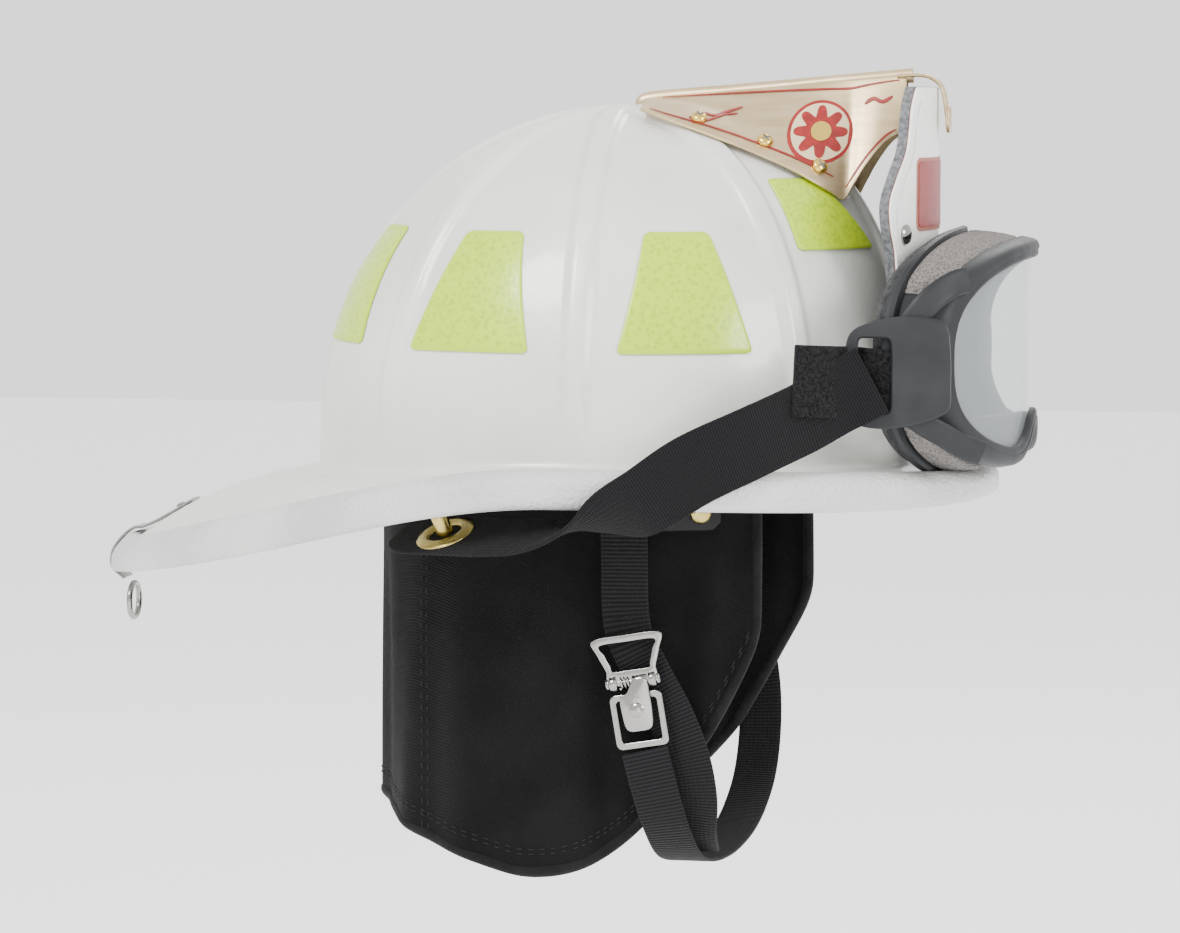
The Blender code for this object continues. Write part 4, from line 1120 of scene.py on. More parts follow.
def shield_body(looks):
    core = shield_layer("shield_core", 0.0, -0.00275, 0.00125, [looks["core"]], "leather_white")
    dye = shield_layer("shield_dye", 0.0004, 0.00125, 0.00175, [looks["tan"]], "leather_white")
    face = shield_layer("shield_face", 0.0002, 0.00175, 0.00265, [looks["face"]], "leather_white")
    soften(face, 0.0004)
    return join("front_shield_body", [core, dye, face] + shield_stitches(looks))


def shield_panels(looks):
    """A plain red panel and a plain star."""
    border = [(y, PANEL_HEIGHT + z) for y, z in rounded(0.0385, 0.0150, 0.0035)]
    panel = [(y, PANEL_HEIGHT + z) for y, z in rounded(0.0370, 0.0135, 0.0025)]
    star = []
    for k in range(16):
        radius = 0.0145 if k % 2 == 0 else 0.0085
        angle = TAU * k / 16 + math.pi / 2
        star.append((radius * math.cos(angle), STAR_HEIGHT + radius * math.sin(angle)))
    disc = [(0.0060 * math.cos(TAU * k / 32), STAR_HEIGHT + 0.0060 * math.sin(TAU * k / 32))
            for k in range(32)]
    return join("shield_panels", [
        shield_patch("panel_border", border, 0.00280, 0.0005, looks["tan"]),
        shield_patch("panel", panel, 0.00300, 0.0006, looks["red"]),
        shield_patch("star", star, 0.0030, 0.0009, looks["brass"]),
        shield_patch("star_disc", disc, 0.0037, 0.0008, looks["red"])])


def make_shield(looks):
    ride(shield_body(looks), "helmet", "front_shield")
    ride(shield_panels(looks), "helmet")
    for side, side_name in ((-1, "right"), (1, "left")):
        node = f"shield_rivet_{side_name}"
        y = 0.050 * side
        spot = shield_spot(y, 0.0985, 0.0029)
        normal = Vector((1.0, y / SHIELD_BEND, 0.0)).normalized()
        profile = ((0.0041, 0), (0.0042, 0.0005), (0.0036, 0.0012), (0.0024, 0.0017), (0.0005, 0.0019))
        rivet = lathe(node + "_head", profile, aim(spot, normal), looks["nickel"], 40, "nickel")
        ride(rivet, "helmet", node)


# ---------------------------------------------------------------- goggles

HALF_WIDTH, HALF_HEIGHT, MIDDLE = 0.092, 0.0485, 0.0485
BACK, BACK_BEND, NOSE, LENS_BEND, SQUARE = 0.1370, 0.213, 0.177, 0.1456, 2.8
PAD_DEPTH, RIM, LENS_SEAT, LENS_LAP = 0.009, 0.009, 0.0028, 0.0018
RING_COLUMNS = 200


def goggle_outline(turn, inset=0.0):
    """Front-view outline (y, z) of the goggles, with the nose arch at the foot."""
    power = 2 / SQUARE
    cosine, sine = math.cos(turn), math.sin(turn)
    y = (HALF_WIDTH - inset) * math.copysign(abs(cosine) ** power, cosine)
    z = (HALF_HEIGHT - inset) * math.copysign(abs(sine) ** power, sine)
    if sine < 0:
        z += 0.016 * math.exp(-(y / 0.020) ** 2)
    return y, MIDDLE + z


def goggle_back(y, depth=0.0):
    return BACK + depth - y * y / (2 * BACK_BEND)


def goggle_front(y, depth=0.0):
    return NOSE - depth - (LENS_BEND - math.sqrt(LENS_BEND ** 2 - y * y))


def goggle_turn(k):
    """Even spacing round the outline needs more columns near the corners."""
    turn = TAU * k / RING_COLUMNS
    return turn - 0.17 * math.sin(4 * turn) * 0.5


def goggle_station(turn, station):
    face, depth, inset = station
    y, z = goggle_outline(turn, inset)
    if face == "back":
        x = goggle_back(y, depth)
    elif face == "front":
        x = goggle_front(y, depth)
    else:
        x = goggle_back(y, PAD_DEPTH) * (1 - depth) + goggle_front(y, 0.0) * depth
    return Vector((x, y, z))


def goggle_ring(name, stations, material, slot_name):
    """A frame that runs round the goggles; a station is (back, front or between, depth, inset)."""
    rings = []
    for k in range(RING_COLUMNS):
        rings.append([goggle_station(goggle_turn(k), station) for station in stations])
    return skin(name, rings, [material], loop=True, slot_name=slot_name, sharp=40)


def body_panel(name, material, side, low, high, start, end, lift, thick):
    """A raised patch on the goggle's side wall: turn from low to high, share from start to end."""
    steps, cells = 18, 10
    rings = []
    for k in range(steps + 1):
        turn = math.radians(low + (high - low) * k / steps)
        inner, outer = [], []
        for j in range(cells + 1):
            share = start + (end - start) * j / cells
            fade = smoothstep(min(j, cells - j) / 2) * smoothstep(min(k, steps - k) / 2)
            for rows, inset in ((outer, -lift - thick * fade), (inner, -lift + 0.0008)):
                point = goggle_station(turn, ("between", share, wall_inset(share) + inset))
                point.y *= side
                rows.append(point)
        rings.append(outer + inner[::-1])
    return skin(name, rings, [material], slot_name="goggle_slate", sharp=50)


def wall_inset(share):
    """How far the side wall has drawn in at a share of its run from the pad to the front rim."""
    return 0.0002 + 0.0042 * share ** 1.6


def side_bar(name, material, points, radius, side):
    """A flat moulded bar that hugs the goggle's side; points are (x, distance from the middle, z)."""
    path = smooth_path([(x, -y, z) for x, y, z in points], 8)
    path = mirrored(path, -side)
    ups = []
    for tangent in tangents(path):
        ups.append(tangent.cross(Vector((0, 1, 0))).normalized())
    return tape(name, path, ups, radius * 2, 0.0022, material, "goggle_slate")


def make_goggle_frame(looks):
    slate = looks["slate"]
    walls = [("between", share, wall_inset(share)) for share in (0.0, 0.2, 0.4, 0.6, 0.8, 0.9)]
    main = goggle_ring("goggle_wall", [
        ("back", PAD_DEPTH + 0.0003, 0.0), *walls, ("front", 0.0032, 0.0040), ("front", 0.0008, 0.0046),
        ("front", 0.0, 0.0058), ("front", 0.0, RIM - 0.001), ("front", 0.0008, RIM),
        ("front", LENS_SEAT, RIM), ("front", LENS_SEAT, RIM - LENS_LAP),
        ("front", LENS_SEAT + 0.004, RIM - LENS_LAP),
        ("back", PAD_DEPTH + 0.0003, 0.004)], slate, "goggle_slate")
    flange = goggle_ring("goggle_flange", [
        ("back", PAD_DEPTH - 0.0030, -0.0012), ("back", PAD_DEPTH - 0.0026, -0.0030),
        ("back", PAD_DEPTH - 0.0008, -0.0036), ("back", PAD_DEPTH + 0.0008, -0.0030),
        ("back", PAD_DEPTH + 0.0012, 0.0006), ("back", PAD_DEPTH - 0.0026, 0.0010)], slate, "goggle_slate")
    band = goggle_ring("goggle_front_band", [
        ("front", 0.0085, 0.0030), ("front", 0.0080, 0.0012), ("front", 0.0066, 0.0007),
        ("front", 0.0020, 0.0016), ("front", 0.0004, 0.0026), ("front", -0.0004, 0.0042),
        ("front", -0.0004, 0.0056), ("front", 0.0006, 0.0062), ("front", 0.0085, 0.0062)],
        slate, "goggle_slate")
    pieces = [main, flange, band]
    for side in (-1, 1):
        pieces.append(body_panel("goggle_cheek", slate, side, -26, 22, 0.30, 0.80, 0.0, 0.0012))
        for k in range(5):
            low = -17 + 7.0 * k
            pieces.append(body_panel("goggle_grip", slate, side, low, low + 3.6, 0.38, 0.72, 0.0010, 0.0010))
        y = 0.0958
        upper = ((0.1330, y, 0.0630), (0.1385, y - 0.0008, 0.0705), (0.1440, y - 0.0045, 0.0760),
                 (0.1500, y - 0.0100, 0.0800), (0.1550, y - 0.0150, 0.0815))
        lower = ((0.1330, y, 0.0290), (0.1400, y - 0.0008, 0.0240), (0.1465, y - 0.0040, 0.0200),
                 (0.1540, y - 0.0100, 0.0150), (0.1610, y - 0.0160, 0.0118))
        pieces.append(side_bar("goggle_arm_upper", slate, upper, 0.0052, side))
        pieces.append(side_bar("goggle_arm_lower", slate, lower, 0.0048, side))
    body = join("goggle_frame_body", pieces)
    ride(body, "goggles", "goggle_frame")


def foam_strip(name, material, start, sweep, proud, puff, top):
    """Foam in the side wall, start and sweep in degrees; top lists (share, bulge) across the strip."""
    steps = 80
    rings = []
    for k in range(steps + 1):
        turn = math.radians(start + sweep * k / steps)
        end = smoothstep(min(k, steps - k) / 5)
        over = [("between", share, wall_inset(share) - proud - puff * end * bulge) for share, bulge in top]
        under = [("between", share, wall_inset(share) + 0.0010) for share in (top[-1][0], top[0][0])]
        rings.append([goggle_station(turn, station) for station in over + under])
    return skin(name, rings, [material], slot_name="foam_grey", sharp=60)


def make_vent_foam(looks):
    upper_top = ((0.03, 0.2), (0.06, 0.8), (0.14, 1.0), (0.35, 1.05), (0.55, 1.0), (0.68, 0.8), (0.72, 0.2))
    upper = foam_strip("goggle_vent_foam_strip", looks["foam"], 27, 126, 0.0004, 0.0016, upper_top)
    ride(upper, "goggles", "goggle_vent_foam")
    lower_top = ((0.08, 0.2), (0.12, 1.0), (0.30, 1.0), (0.46, 1.0), (0.50, 0.2))
    lower = foam_strip("goggle_lower_foam", looks["foam"], 205, 130, 0.0003, 0.0012, lower_top)
    ride(lower, "goggles")


def make_face_pad(looks):
    pad = goggle_ring("goggle_face_cushion", [
        ("back", PAD_DEPTH - 0.0002, 0.0), ("back", PAD_DEPTH - 0.003, -0.0002), ("back", 0.0030, -0.0006),
        ("back", 0.0008, 0.0006), ("back", 0.0, 0.0034), ("back", 0.0, 0.0070), ("back", 0.0010, 0.0100),
        ("back", 0.0034, 0.0112), ("back", 0.0060, 0.0104), ("back", PAD_DEPTH - 0.0002, 0.0090)],
        looks["pad"], "foam_black")
    ride(pad, "goggles", "goggle_face_pad")


def make_lens(looks):
    columns = RING_COLUMNS
    bm = bmesh.new()
    layers = []
    for depth in (LENS_SEAT + 0.0003, LENS_SEAT + 0.0019):
        rings = []
        for j in range(16):
            share = 1 - j / 16
            ring = []
            for k in range(columns):
                y, z = goggle_outline(goggle_turn(k), RIM - LENS_LAP)
                y, z = y * share, MIDDLE + (z - MIDDLE) * share
                ring.append(bm.verts.new((goggle_front(y, depth), y, z)))
            rings.append(ring)
        fill_rings(bm, rings, bm.verts.new((goggle_front(0.0, depth), 0.0, MIDDLE)))
        layers.append(rings[0])
    for k in range(columns):
        j = (k + 1) % columns
        bm.faces.new((layers[0][k], layers[0][j], layers[1][j], layers[1][k]))
    bmesh.ops.recalc_face_normals(bm, faces=bm.faces)
    lens = make_object("goggle_lens_pane", bm, [looks["lens"]], "lens_clear")
    ride(lens, "goggles", "goggle_lens")


def loop_outline(plan, steps=5):
    """Closed smooth outline through the plan's points."""
    points = [Vector((a, b, 0)) for a, b in plan]
    count = len(points)
    made = []
    for i in range(count):
        a, b, c, d = (points[(i + k) % count] for k in (-1, 0, 1, 2))
        for k in range(steps):
            t = k / steps
            made.append(0.5 * (2 * b + (c - a) * t + (2 * a - 5 * b + 4 * c - d) * t * t
                               + (3 * b - a - 3 * c + d) * t ** 3))
    return [(p.x, p.y) for p in made]


def make_outrigger(looks, side, side_name):
    """Strap loop at the goggle's end: a rounded frame around a tall slot."""
    plan = ((0.1085, 0.0300), (0.1120, 0.0245), (0.1200, 0.0226), (0.1300, 0.0232), (0.1400, 0.0256),
            (0.1490, 0.0300), (0.1500, 0.0400), (0.1498, 0.0540), (0.1480, 0.0640), (0.1400, 0.0672),
            (0.1290, 0.0674), (0.1180, 0.0650), (0.1110, 0.0618), (0.1082, 0.0560), (0.1078, 0.0430))
    outer = loop_outline(plan, 6)
    count = len(outer)
    centre = (0.1195, 0.04375)
    half_wide, half_high, corner = 0.0068, 0.0150, 0.0022
    inner = []
    for x, z in outer:
        angle = math.atan2(z - centre[1], (x - centre[0]) * 1.3)
        cosine, sine = abs(math.cos(angle)), abs(math.sin(angle))
        reach = 1 / ((cosine ** 9 + sine ** 9) ** (1 / 9))
        inner.append((centre[0] + half_wide * math.cos(angle) * reach,
                      centre[1] + half_high * math.sin(angle) * reach))
    near, far = 0.0942, 0.0984
    bevel = 0.0007

    def ring(outline, y, shrink):
        made = []
        for k, (x, z) in enumerate(outline):
            a, b = outline[k - 1], outline[(k + 1) % count]
            run = Vector((b[0] - a[0], b[1] - a[1], 0)).normalized()
            made.append(Vector((x - run.y * shrink, side * y, z + run.x * shrink)))
        return made

    rings = [ring(outer, near, bevel), ring(outer, near + bevel, 0), ring(outer, far - bevel, 0),
             ring(outer, far, bevel), ring(inner, far, -bevel), ring(inner, far - bevel, 0),
             ring(inner, near + bevel, 0), ring(inner, near, -bevel)]
    frame_loop = skin(f"outrigger_loop_{side_name}", rings, [looks["slate"]], loop=True,
                      slot_name="goggle_slate", sharp=40)
    ride(frame_loop, "goggles", f"goggle_outrigger_{side_name}")


# ---------------------------------------------------------------- goggle straps

GOGGLE_STRAP_PATH = (
    (0.1195, -0.1034, 0.0425), (0.1080, -0.1066, 0.0362), (0.0940, -0.1170, 0.0280),
    (0.0740, -0.1325, 0.0185), (0.0530, -0.1420, 0.0085), (0.0330, -0.1464, -0.0045),
    (0.0140, -0.1405, -0.0130), (-0.0060, -0.1375, -0.0182), (-0.0280, -0.1290, -0.0205),
    (-0.0510, -0.1160, -0.0215), (-0.0740, -0.1030, -0.0225))
GROMMET_STATION = 9


def strap_up(share, tangent):
    roll = smoothstep((share - 0.40) / 0.36) * math.radians(112)
    up = Vector((0.0, -math.sin(roll), math.cos(roll)))
    return (up - tangent * up.dot(tangent)).normalized()


def eyelet_frame(side):
    """Frame of the eyelet: +Z stands on the strap's upper face."""
    before, spot, after = (Vector(GOGGLE_STRAP_PATH[GROMMET_STATION + k]) for k in (-1, 0, 1))
    tangent = (after - before).normalized()
    normal = tangent.cross(strap_up(GROMMET_STATION / (len(GOGGLE_STRAP_PATH) - 1), tangent))
    if normal.z < 0:
        normal = -normal
    normal.y *= side
    spot.y *= side
    return aim(spot, normal)


def make_goggle_strap(looks, side, side_name):
    path = smooth_path(GOGGLE_STRAP_PATH, 10)
    total = len(path) - 1
    rings = []
    width, thick = 0.029, 0.0018
    length = path_length(path)
    for k, (point, tangent) in enumerate(zip(path, tangents(path))):
        up = strap_up(k / total, tangent)
        out = tangent.cross(up)
        left = (total - k) / total * length
        half = width
        if left < width / 2:
            half = 2 * math.sqrt(max((width / 2) ** 2 - (width / 2 - left) ** 2, 1e-7))
        ring = [point + up * a + out * b for a, b in tape_section(half, thick, 16)]
        rings.append([Vector((p.x, p.y * side, p.z)) for p in ring])
    rings = rings[:-1]
    strap = skin(f"goggle_strap_band_{side_name}", rings, [looks["elastic"]], slot_name="elastic_black",
                 sharp=60)
    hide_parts(f"goggle_strap_{side_name}")
    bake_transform(strap)
    make_eyelet(looks, side, side_name, thick / 2)


def make_eyelet(looks, side, side_name, lift):
    """Brass eyelet in the strap and the helmet post it hooks on."""
    matrix = eyelet_frame(side)
    profile = ((0.0066, -lift - 0.0006), (0.0066, lift), (0.0071, lift + 0.0010), (0.0086, lift + 0.0017),
               (0.0104, lift + 0.0013), (0.0122, lift + 0.0005), (0.0124, lift + 0.0001),
               (0.0124, -lift - 0.0003), (0.0100, -lift - 0.0010))
    eyelet = lathe(f"eyelet_{side_name}", profile, matrix, looks["eyelet"], 56, "brass", loop=True)
    ride(eyelet, "helmet", f"strap_grommet_{side_name}")
    profile = ((0.0004, -0.0047), (0.0060, -0.0046), (0.0074, -0.0041), (0.0076, -0.0034), (0.0074, -0.0027),
               (0.0040, -0.0022), (0.0034, -0.0018), (0.0034, 0.0092), (0.0030, 0.0100), (0.0004, 0.0102))
    post = lathe(f"post_{side_name}", profile, matrix, looks["eyelet"], 40, "brass")
    ride(post, "helmet", f"strap_post_{side_name}")


def make_strap_tail(looks, side, side_name):
    """The strap's free end: it loops through the outrigger slot and folds back on itself."""
    middle = 0.0430
    plan = ((0.0905, 0.1215), (0.0950, 0.1180), (0.1000, 0.1137), (0.1045, 0.1085), (0.1075, 0.1020),
            (0.1100, 0.0960), (0.1135, 0.0936), (0.1180, 0.0948), (0.1225, 0.0962), (0.1258, 0.0960))
    path = smooth_path([(x, y * side, middle - 0.0004 * k) for k, (x, y) in enumerate(plan)], 8)
    ups = [Vector((-0.06, 0, 1))] * len(path)
    tail = tape(f"strap_tail_{side_name}", path, ups, 0.0285, 0.0017, looks["hook"], "elastic_black", 14)
    ride(tail, "goggles")


# ---------------------------------------------------------------- chin strap and buckle

HANGER_PATH = (
    (0.0200, -0.1053, -0.0045), (0.0200, -0.1053, -0.0300), (0.0212, -0.1053, -0.0580),
    (0.0290, -0.1053, -0.0760), (0.0380, -0.1040, -0.0930), (0.0450, -0.1030, -0.1110),
    (0.0475, -0.0985, -0.1280), (0.0455, -0.0870, -0.1440), (0.0440, -0.0690, -0.1545))
CHIN_PATH = (
    (0.0290, -0.1094, -0.1078), (0.0325, -0.1088, -0.1220), (0.0365, -0.1030, -0.1390),
    (0.0395, -0.0880, -0.1530), (0.0415, -0.0620, -0.1600), (0.0430, -0.0300, -0.1635),
    (0.0440, 0.0000, -0.1645), (0.0450, 0.0320, -0.1630), (0.0460, 0.0600, -0.1575),
    (0.0470, 0.0830, -0.1470), (0.0470, 0.0990, -0.1310), (0.0460, 0.1060, -0.1120),
    (0.0430, 0.1075, -0.0920), (0.0390, 0.1072, -0.0720), (0.0300, 0.1060, -0.0450),
    (0.0220, 0.1055, -0.0200), (0.0200, 0.1053, -0.0045))
CHIN_WIDTH, CHIN_THICK = 0.019, 0.0016


def chin_tape(name, points, looks, node):
    path = smooth_path(points, 10)
    tape_piece = tape(name, path, [Vector((1, 0, 0))] * len(path), CHIN_WIDTH, CHIN_THICK,
                      looks["webbing"], "elastic_black", 12)
    ride(tape_piece, "chin_strap", node)


def cross_stitches(looks, centre, y, half, height, side):
    """Boxed row of stitches on a tape that hangs in the XZ plane."""
    made = []
    face = y + side * 0.00095
    count = 9
    for row in (-height / 2, height / 2):
        for k in range(count):
            x = centre[0] - half + 2 * half * k / count
            ends = [Vector((x + 2 * half / count * share, face, centre[1] + row))
                    for share in (0.1, 0.4, 0.75)]
            made.append(tube("stitch", ends, 0.00028, looks["thread"], 6, slot_name="elastic_black"))
    return made


def make_chin(looks):
    chin_tape("chin_hanger_webbing", HANGER_PATH, looks, "chin_hanger_strap")
    chin_tape("chin_webbing", CHIN_PATH, looks, "chin_strap")
    thread = cross_stitches(looks, (0.0205, -0.0160), -0.1053, 0.0078, 0.010, -1)
    thread += cross_stitches(looks, (0.0212, -0.0520), -0.1053, 0.0078, 0.006, -1)
    ride(join("chin_stitches", thread), "chin_strap")
    make_buckle(looks)
    make_slide(looks)


BUCKLE_TOP = Vector((0.0212, -0.1092, -0.0610))
PIN_DROP = 0.0190


def buckle_matrix():
    return Matrix.Translation(BUCKLE_TOP) @ Matrix.Rotation(math.radians(-9.5), 4, "Y")


def upright(matrix):
    """Lets an (x, z) outline be given as a flat (a, b) outline; depth then runs along -Y."""
    return matrix @ Matrix.Rotation(math.pi / 2, 4, "X")


def framed_plate(name, outer, inner, matrix, material):
    """Nickel plate with a window; both outlines have the same number of points, in (x, z)."""
    base = upright(matrix)
    low, high = -0.0012, 0.0012

    def ring(outline, depth):
        return [base @ Vector((a, b, depth)) for a, b in outline]

    rings = [ring(outer, low), ring(outer, high), ring(inner, high), ring(inner, low)]
    plate = skin(name, rings, [material], loop=True, slot_name="nickel", sharp=35)
    return soften(plate, 0.0004)


def resample(outline, count):
    """Even points round a closed outline."""
    points = [Vector((a, b)) for a, b in outline]
    lengths = [(points[(k + 1) % len(points)] - points[k]).length for k in range(len(points))]
    total, made, k, used = sum(lengths), [], 0, 0.0
    for step in range(count):
        target = total * step / count
        while used + lengths[k] < target:
            used += lengths[k]
            k += 1
        a, b = points[k], points[(k + 1) % len(points)]
        made.append(tuple(a.lerp(b, (target - used) / lengths[k])))
    return made


def buckle_frame(place, axis, nickel):
    """Frame plate with a window and two ears round the cross pin."""
    outer = loop_outline(((-0.0140, -0.0005), (0.0, 0.0002), (0.0140, -0.0005), (0.0128, -0.0068),
                          (0.0103, -0.0135), (0.0097, -0.0178), (0.0, -0.0182), (-0.0097, -0.0178),
                          (-0.0103, -0.0135), (-0.0128, -0.0068)), 6)
    inner = loop_outline(((-0.0112, -0.0030), (0.0, -0.0027), (0.0112, -0.0030), (0.0100, -0.0068),
                          (0.0082, -0.0118), (0.0072, -0.0140), (0.0, -0.0141), (-0.0072, -0.0140),
                          (-0.0082, -0.0118), (-0.0100, -0.0068)), 6)
    pieces = [framed_plate("buckle_frame_plate", outer, inner, place, nickel)]
    for start in (-0.0095, 0.0066):
        profile = ((0.0003, start), (0.0030, start), (0.0032, start + 0.0003), (0.0032, start + 0.0026),
                   (0.0030, start + 0.0029), (0.0003, start + 0.0029))
        pieces.append(lathe("ear", profile, axis, nickel, 40, "nickel"))
    return join("buckle_frame_body", pieces)


def buckle_pin(axis, nickel):
    half = ((0.0003, 0.0113), (0.0020, 0.0112), (0.0024, 0.0108), (0.0024, 0.0100), (0.0015, 0.0099))
    profile = [(radius, -height) for radius, height in half] + list(half[::-1])
    return lathe("buckle_pin_rod", profile, axis, nickel, 32, "nickel")


def buckle_spring(axis, nickel):
    """Torsion spring of three turns round the pin."""
    radius, pitch, turns, start, columns = 0.0024, 0.0014, 3, -0.0056, 28
    coil = []
    for k in range(turns * columns + 1):
        angle = TAU * k / columns
        coil.append(axis @ Vector((radius * math.cos(angle), radius * math.sin(angle),
                                   start + pitch * k / columns)))
    return tube("buckle_spring_coil", coil, 0.00045, nickel, 10, slot_name="nickel")


def make_buckle(looks):
    place, nickel = buckle_matrix(), looks["nickel"]
    axis = place @ Matrix.Translation((0, 0, -PIN_DROP)) @ Matrix.Rotation(math.pi / 2, 4, "Y")
    ride(buckle_frame(place, axis, nickel), "chin_strap", "buckle_frame")
    ride(buckle_pin(axis, nickel), "chin_strap", "buckle_pin")
    ride(buckle_spring(axis, nickel), "chin_strap", "buckle_spring")
    make_lever(looks, place, axis)
    make_hook(looks, place)


def make_lever(looks, place, axis):
    nickel = looks["nickel"]
    profile = ((0.0016, -0.0002), (0.0026, -0.0002), (0.0028, 0.0001), (0.0028, 0.0057), (0.0026, 0.0060),
               (0.0016, 0.0060))
    barrel = lathe("lever_barrel", profile, axis, nickel, 40, "nickel", loop=True)
    outline = loop_outline(((0.0004, -PIN_DROP + 0.0006), (0.0056, -PIN_DROP + 0.0006),
                            (0.0062, -PIN_DROP - 0.0060), (0.0062, -PIN_DROP - 0.0125),
                            (0.0050, -PIN_DROP - 0.0190), (0.0, -PIN_DROP - 0.0200),
                            (-0.0050, -PIN_DROP - 0.0190), (-0.0062, -PIN_DROP - 0.0125),
                            (-0.0060, -PIN_DROP - 0.0055), (-0.0030, -PIN_DROP - 0.0040)), 6)
    plate = slab("lever_plate", outline, 0.0012, upright(place) @ Matrix.Translation((0, 0, 0.0018)),
                 nickel, 0.0004, "nickel")
    spot = place @ Vector((0.0, -0.0030, -PIN_DROP - 0.0115))
    out = (place.to_3x3() @ Vector((0, -1, 0))).normalized()
    profile = ((0.0030, -0.0001), (0.0031, 0.0003), (0.0026, 0.0008), (0.0012, 0.0011), (0.0002, 0.0011))
    disc = lathe("lever_disc", profile, aim(spot, out), nickel, 36, "nickel")
    ride(join("buckle_lever_body", [plate, barrel, disc]), "buckle_lever", "buckle_lever")


def make_hook(looks, place):
    def shifted(outline, z):
        return [(a, b + z) for a, b in outline]

    middle = -(0.0236 + 0.0460) / 2
    outer = shifted(rounded(0.0108, 0.0112, 0.0026), middle)
    inner = shifted(rounded(0.0083, 0.0086, 0.0014), middle)
    plate = framed_plate("buckle_hook_plate", outer, inner, place, looks["nickel"])
    ride(plate, "chin_strap", "buckle_hook")


def make_slide(looks):
    """Black plastic slide around the far strand of the chin strap."""
    run = Vector((-0.0070, 0.0012, 0.0400)).normalized()
    across = (Vector((1, 0, 0)) - run * run.x).normalized()
    out = run.cross(across)
    spot = Vector((0.0428, 0.1073, -0.0920))
    place = Matrix.Translation(spot) @ Matrix((across, out, run)).transposed().to_4x4()
    half_wide, half_deep = CHIN_WIDTH / 2 + 0.0008, CHIN_THICK / 2 + 0.0011
    outer = rounded(half_wide + 0.0026, half_deep + 0.0016, 0.0012)
    inner = rounded(half_wide, half_deep, 0.0005)
    rings = []
    for outline, z in ((outer, -0.0048), (outer, 0.0048), (inner, 0.0048), (inner, -0.0048)):
        rings.append([place @ Vector((a, b, z)) for a, b in outline])
    slide = skin("chin_slide_body", rings, [looks["polymer"]], loop=True, slot_name="band_black", sharp=35)
    soften(slide, 0.0005)
    ride(slide, "chin_slide", "chin_slide")


ANCHOR_INSET, ANCHOR_RIVET_ANGLES, ANCHOR_RIVET_HEIGHT = 0.0042, (62.5, 70.0), -0.0125


def anchor_tab(looks, side, side_name):
    """Curved tab inside the shell that carries the chin strap."""
    rings = []
    for k in range(17):
        angle = -math.radians(58 + 25 * k / 16)
        drop = 0.0030 * (1 - math.sqrt(max(1 - (max(abs(k / 8 - 1) - 0.8, 0) / 0.2) ** 2, 0)))
        radius = dome_radius(angle) - ANCHOR_INSET
        section = ((0.0006, 0.0030), (0.0002, 0.0035), (-0.0006, 0.0035), (-0.0007, 0.0020),
                   (-0.0007, -0.0190 + drop), (-0.0002, -0.0200 + drop), (0.0005, -0.0196 + drop),
                   (0.0007, -0.0180 + drop))
        rings.append([polar(angle * side, radius + out, up) for out, up in section])
    return skin(f"anchor_tab_{side_name}", rings, [looks["polymer"]], slot_name="nickel", sharp=40)


def anchor_rivet(looks, side, degrees, name):
    angle = -math.radians(degrees)
    place = polar(angle * side, dome_radius(angle) - ANCHOR_INSET + 0.0008, ANCHOR_RIVET_HEIGHT)
    profile = ((0.0045, 0), (0.0046, 0.0004), (0.0042, 0.0012), (0.0032, 0.0021), (0.0018, 0.0026),
               (0.0003, 0.0028))
    return lathe(name, profile, aim(place, polar(angle * side, 1.0, 0.0)), looks["eyelet"], 40, "brass")


def make_anchors(looks):
    for side, side_name in SIDES:
        ride(anchor_tab(looks, side, side_name), "helmet", f"chin_anchor_{side_name}")
        for number, degrees in enumerate(ANCHOR_RIVET_ANGLES, 1):
            node = f"anchor_rivet_{side_name}_{number}"
            ride(anchor_rivet(looks, side, degrees, node + "_head"), "helmet", node)


# ---------------------------------------------------------------- neck protector

NECK_REAR, NECK_SIDE, NECK_FRONT_EDGE, NECK_TOP, NECK_THICK = 0.100, 0.097, 0.070, -0.004, 0.0024
NECK_TURN, NECK_LOW_X, NECK_LOW_Z = 0.55, -0.026, -0.162
NECK_FRONT_FOOT, NECK_REAR_FOOT = -0.064, -0.142


def neck_plan(u):
    side = -1.0 if u < 0 else 1.0
    size = abs(u)
    if size < NECK_TURN:
        turn = size / NECK_TURN * math.pi / 2
        return Vector((-NECK_REAR * math.cos(turn), side * NECK_SIDE * math.sin(turn), 0.0))
    share = (size - NECK_TURN) / (1 - NECK_TURN)
    return Vector((NECK_FRONT_EDGE * share, side * (NECK_SIDE - 0.016 * share ** 2), 0.0))


def neck_hem(x):
    if x > NECK_LOW_X:
        share = (x - NECK_LOW_X) / (NECK_FRONT_EDGE - NECK_LOW_X)
        return NECK_LOW_Z + (NECK_FRONT_FOOT - NECK_LOW_Z) * share ** 2.3
    share = (NECK_LOW_X - x) / (NECK_REAR + NECK_LOW_X)
    return NECK_LOW_Z + (NECK_REAR_FOOT - NECK_LOW_Z) * share ** 1.1


def neck_point(u, down, lift=0.0):
    """Point of the draped cloth; down runs from 0 at the top to 1 at the hem."""
    point = neck_plan(u)
    nearby = neck_plan(u + 0.002) - neck_plan(u - 0.002)
    outward = Vector((nearby.y, -nearby.x, 0.0)).normalized()
    outward = outward if outward.dot(Vector((point.x + 0.02, point.y, 0))) > 0 else -outward
    hem = neck_hem(point.x)
    fold = 0.0016 * math.sin(19.0 * u + 0.7) + 0.0011 * math.sin(37.0 * u + 2.1 + 1.3 * down)
    fold += 0.0006 * math.sin(61.0 * u - 2.2 * down)
    fade = smoothstep(down / 0.45) * (0.55 + 0.45 * down)
    point.z = NECK_TOP + (hem - NECK_TOP) * down
    return point + outward * (fold * fade + lift)


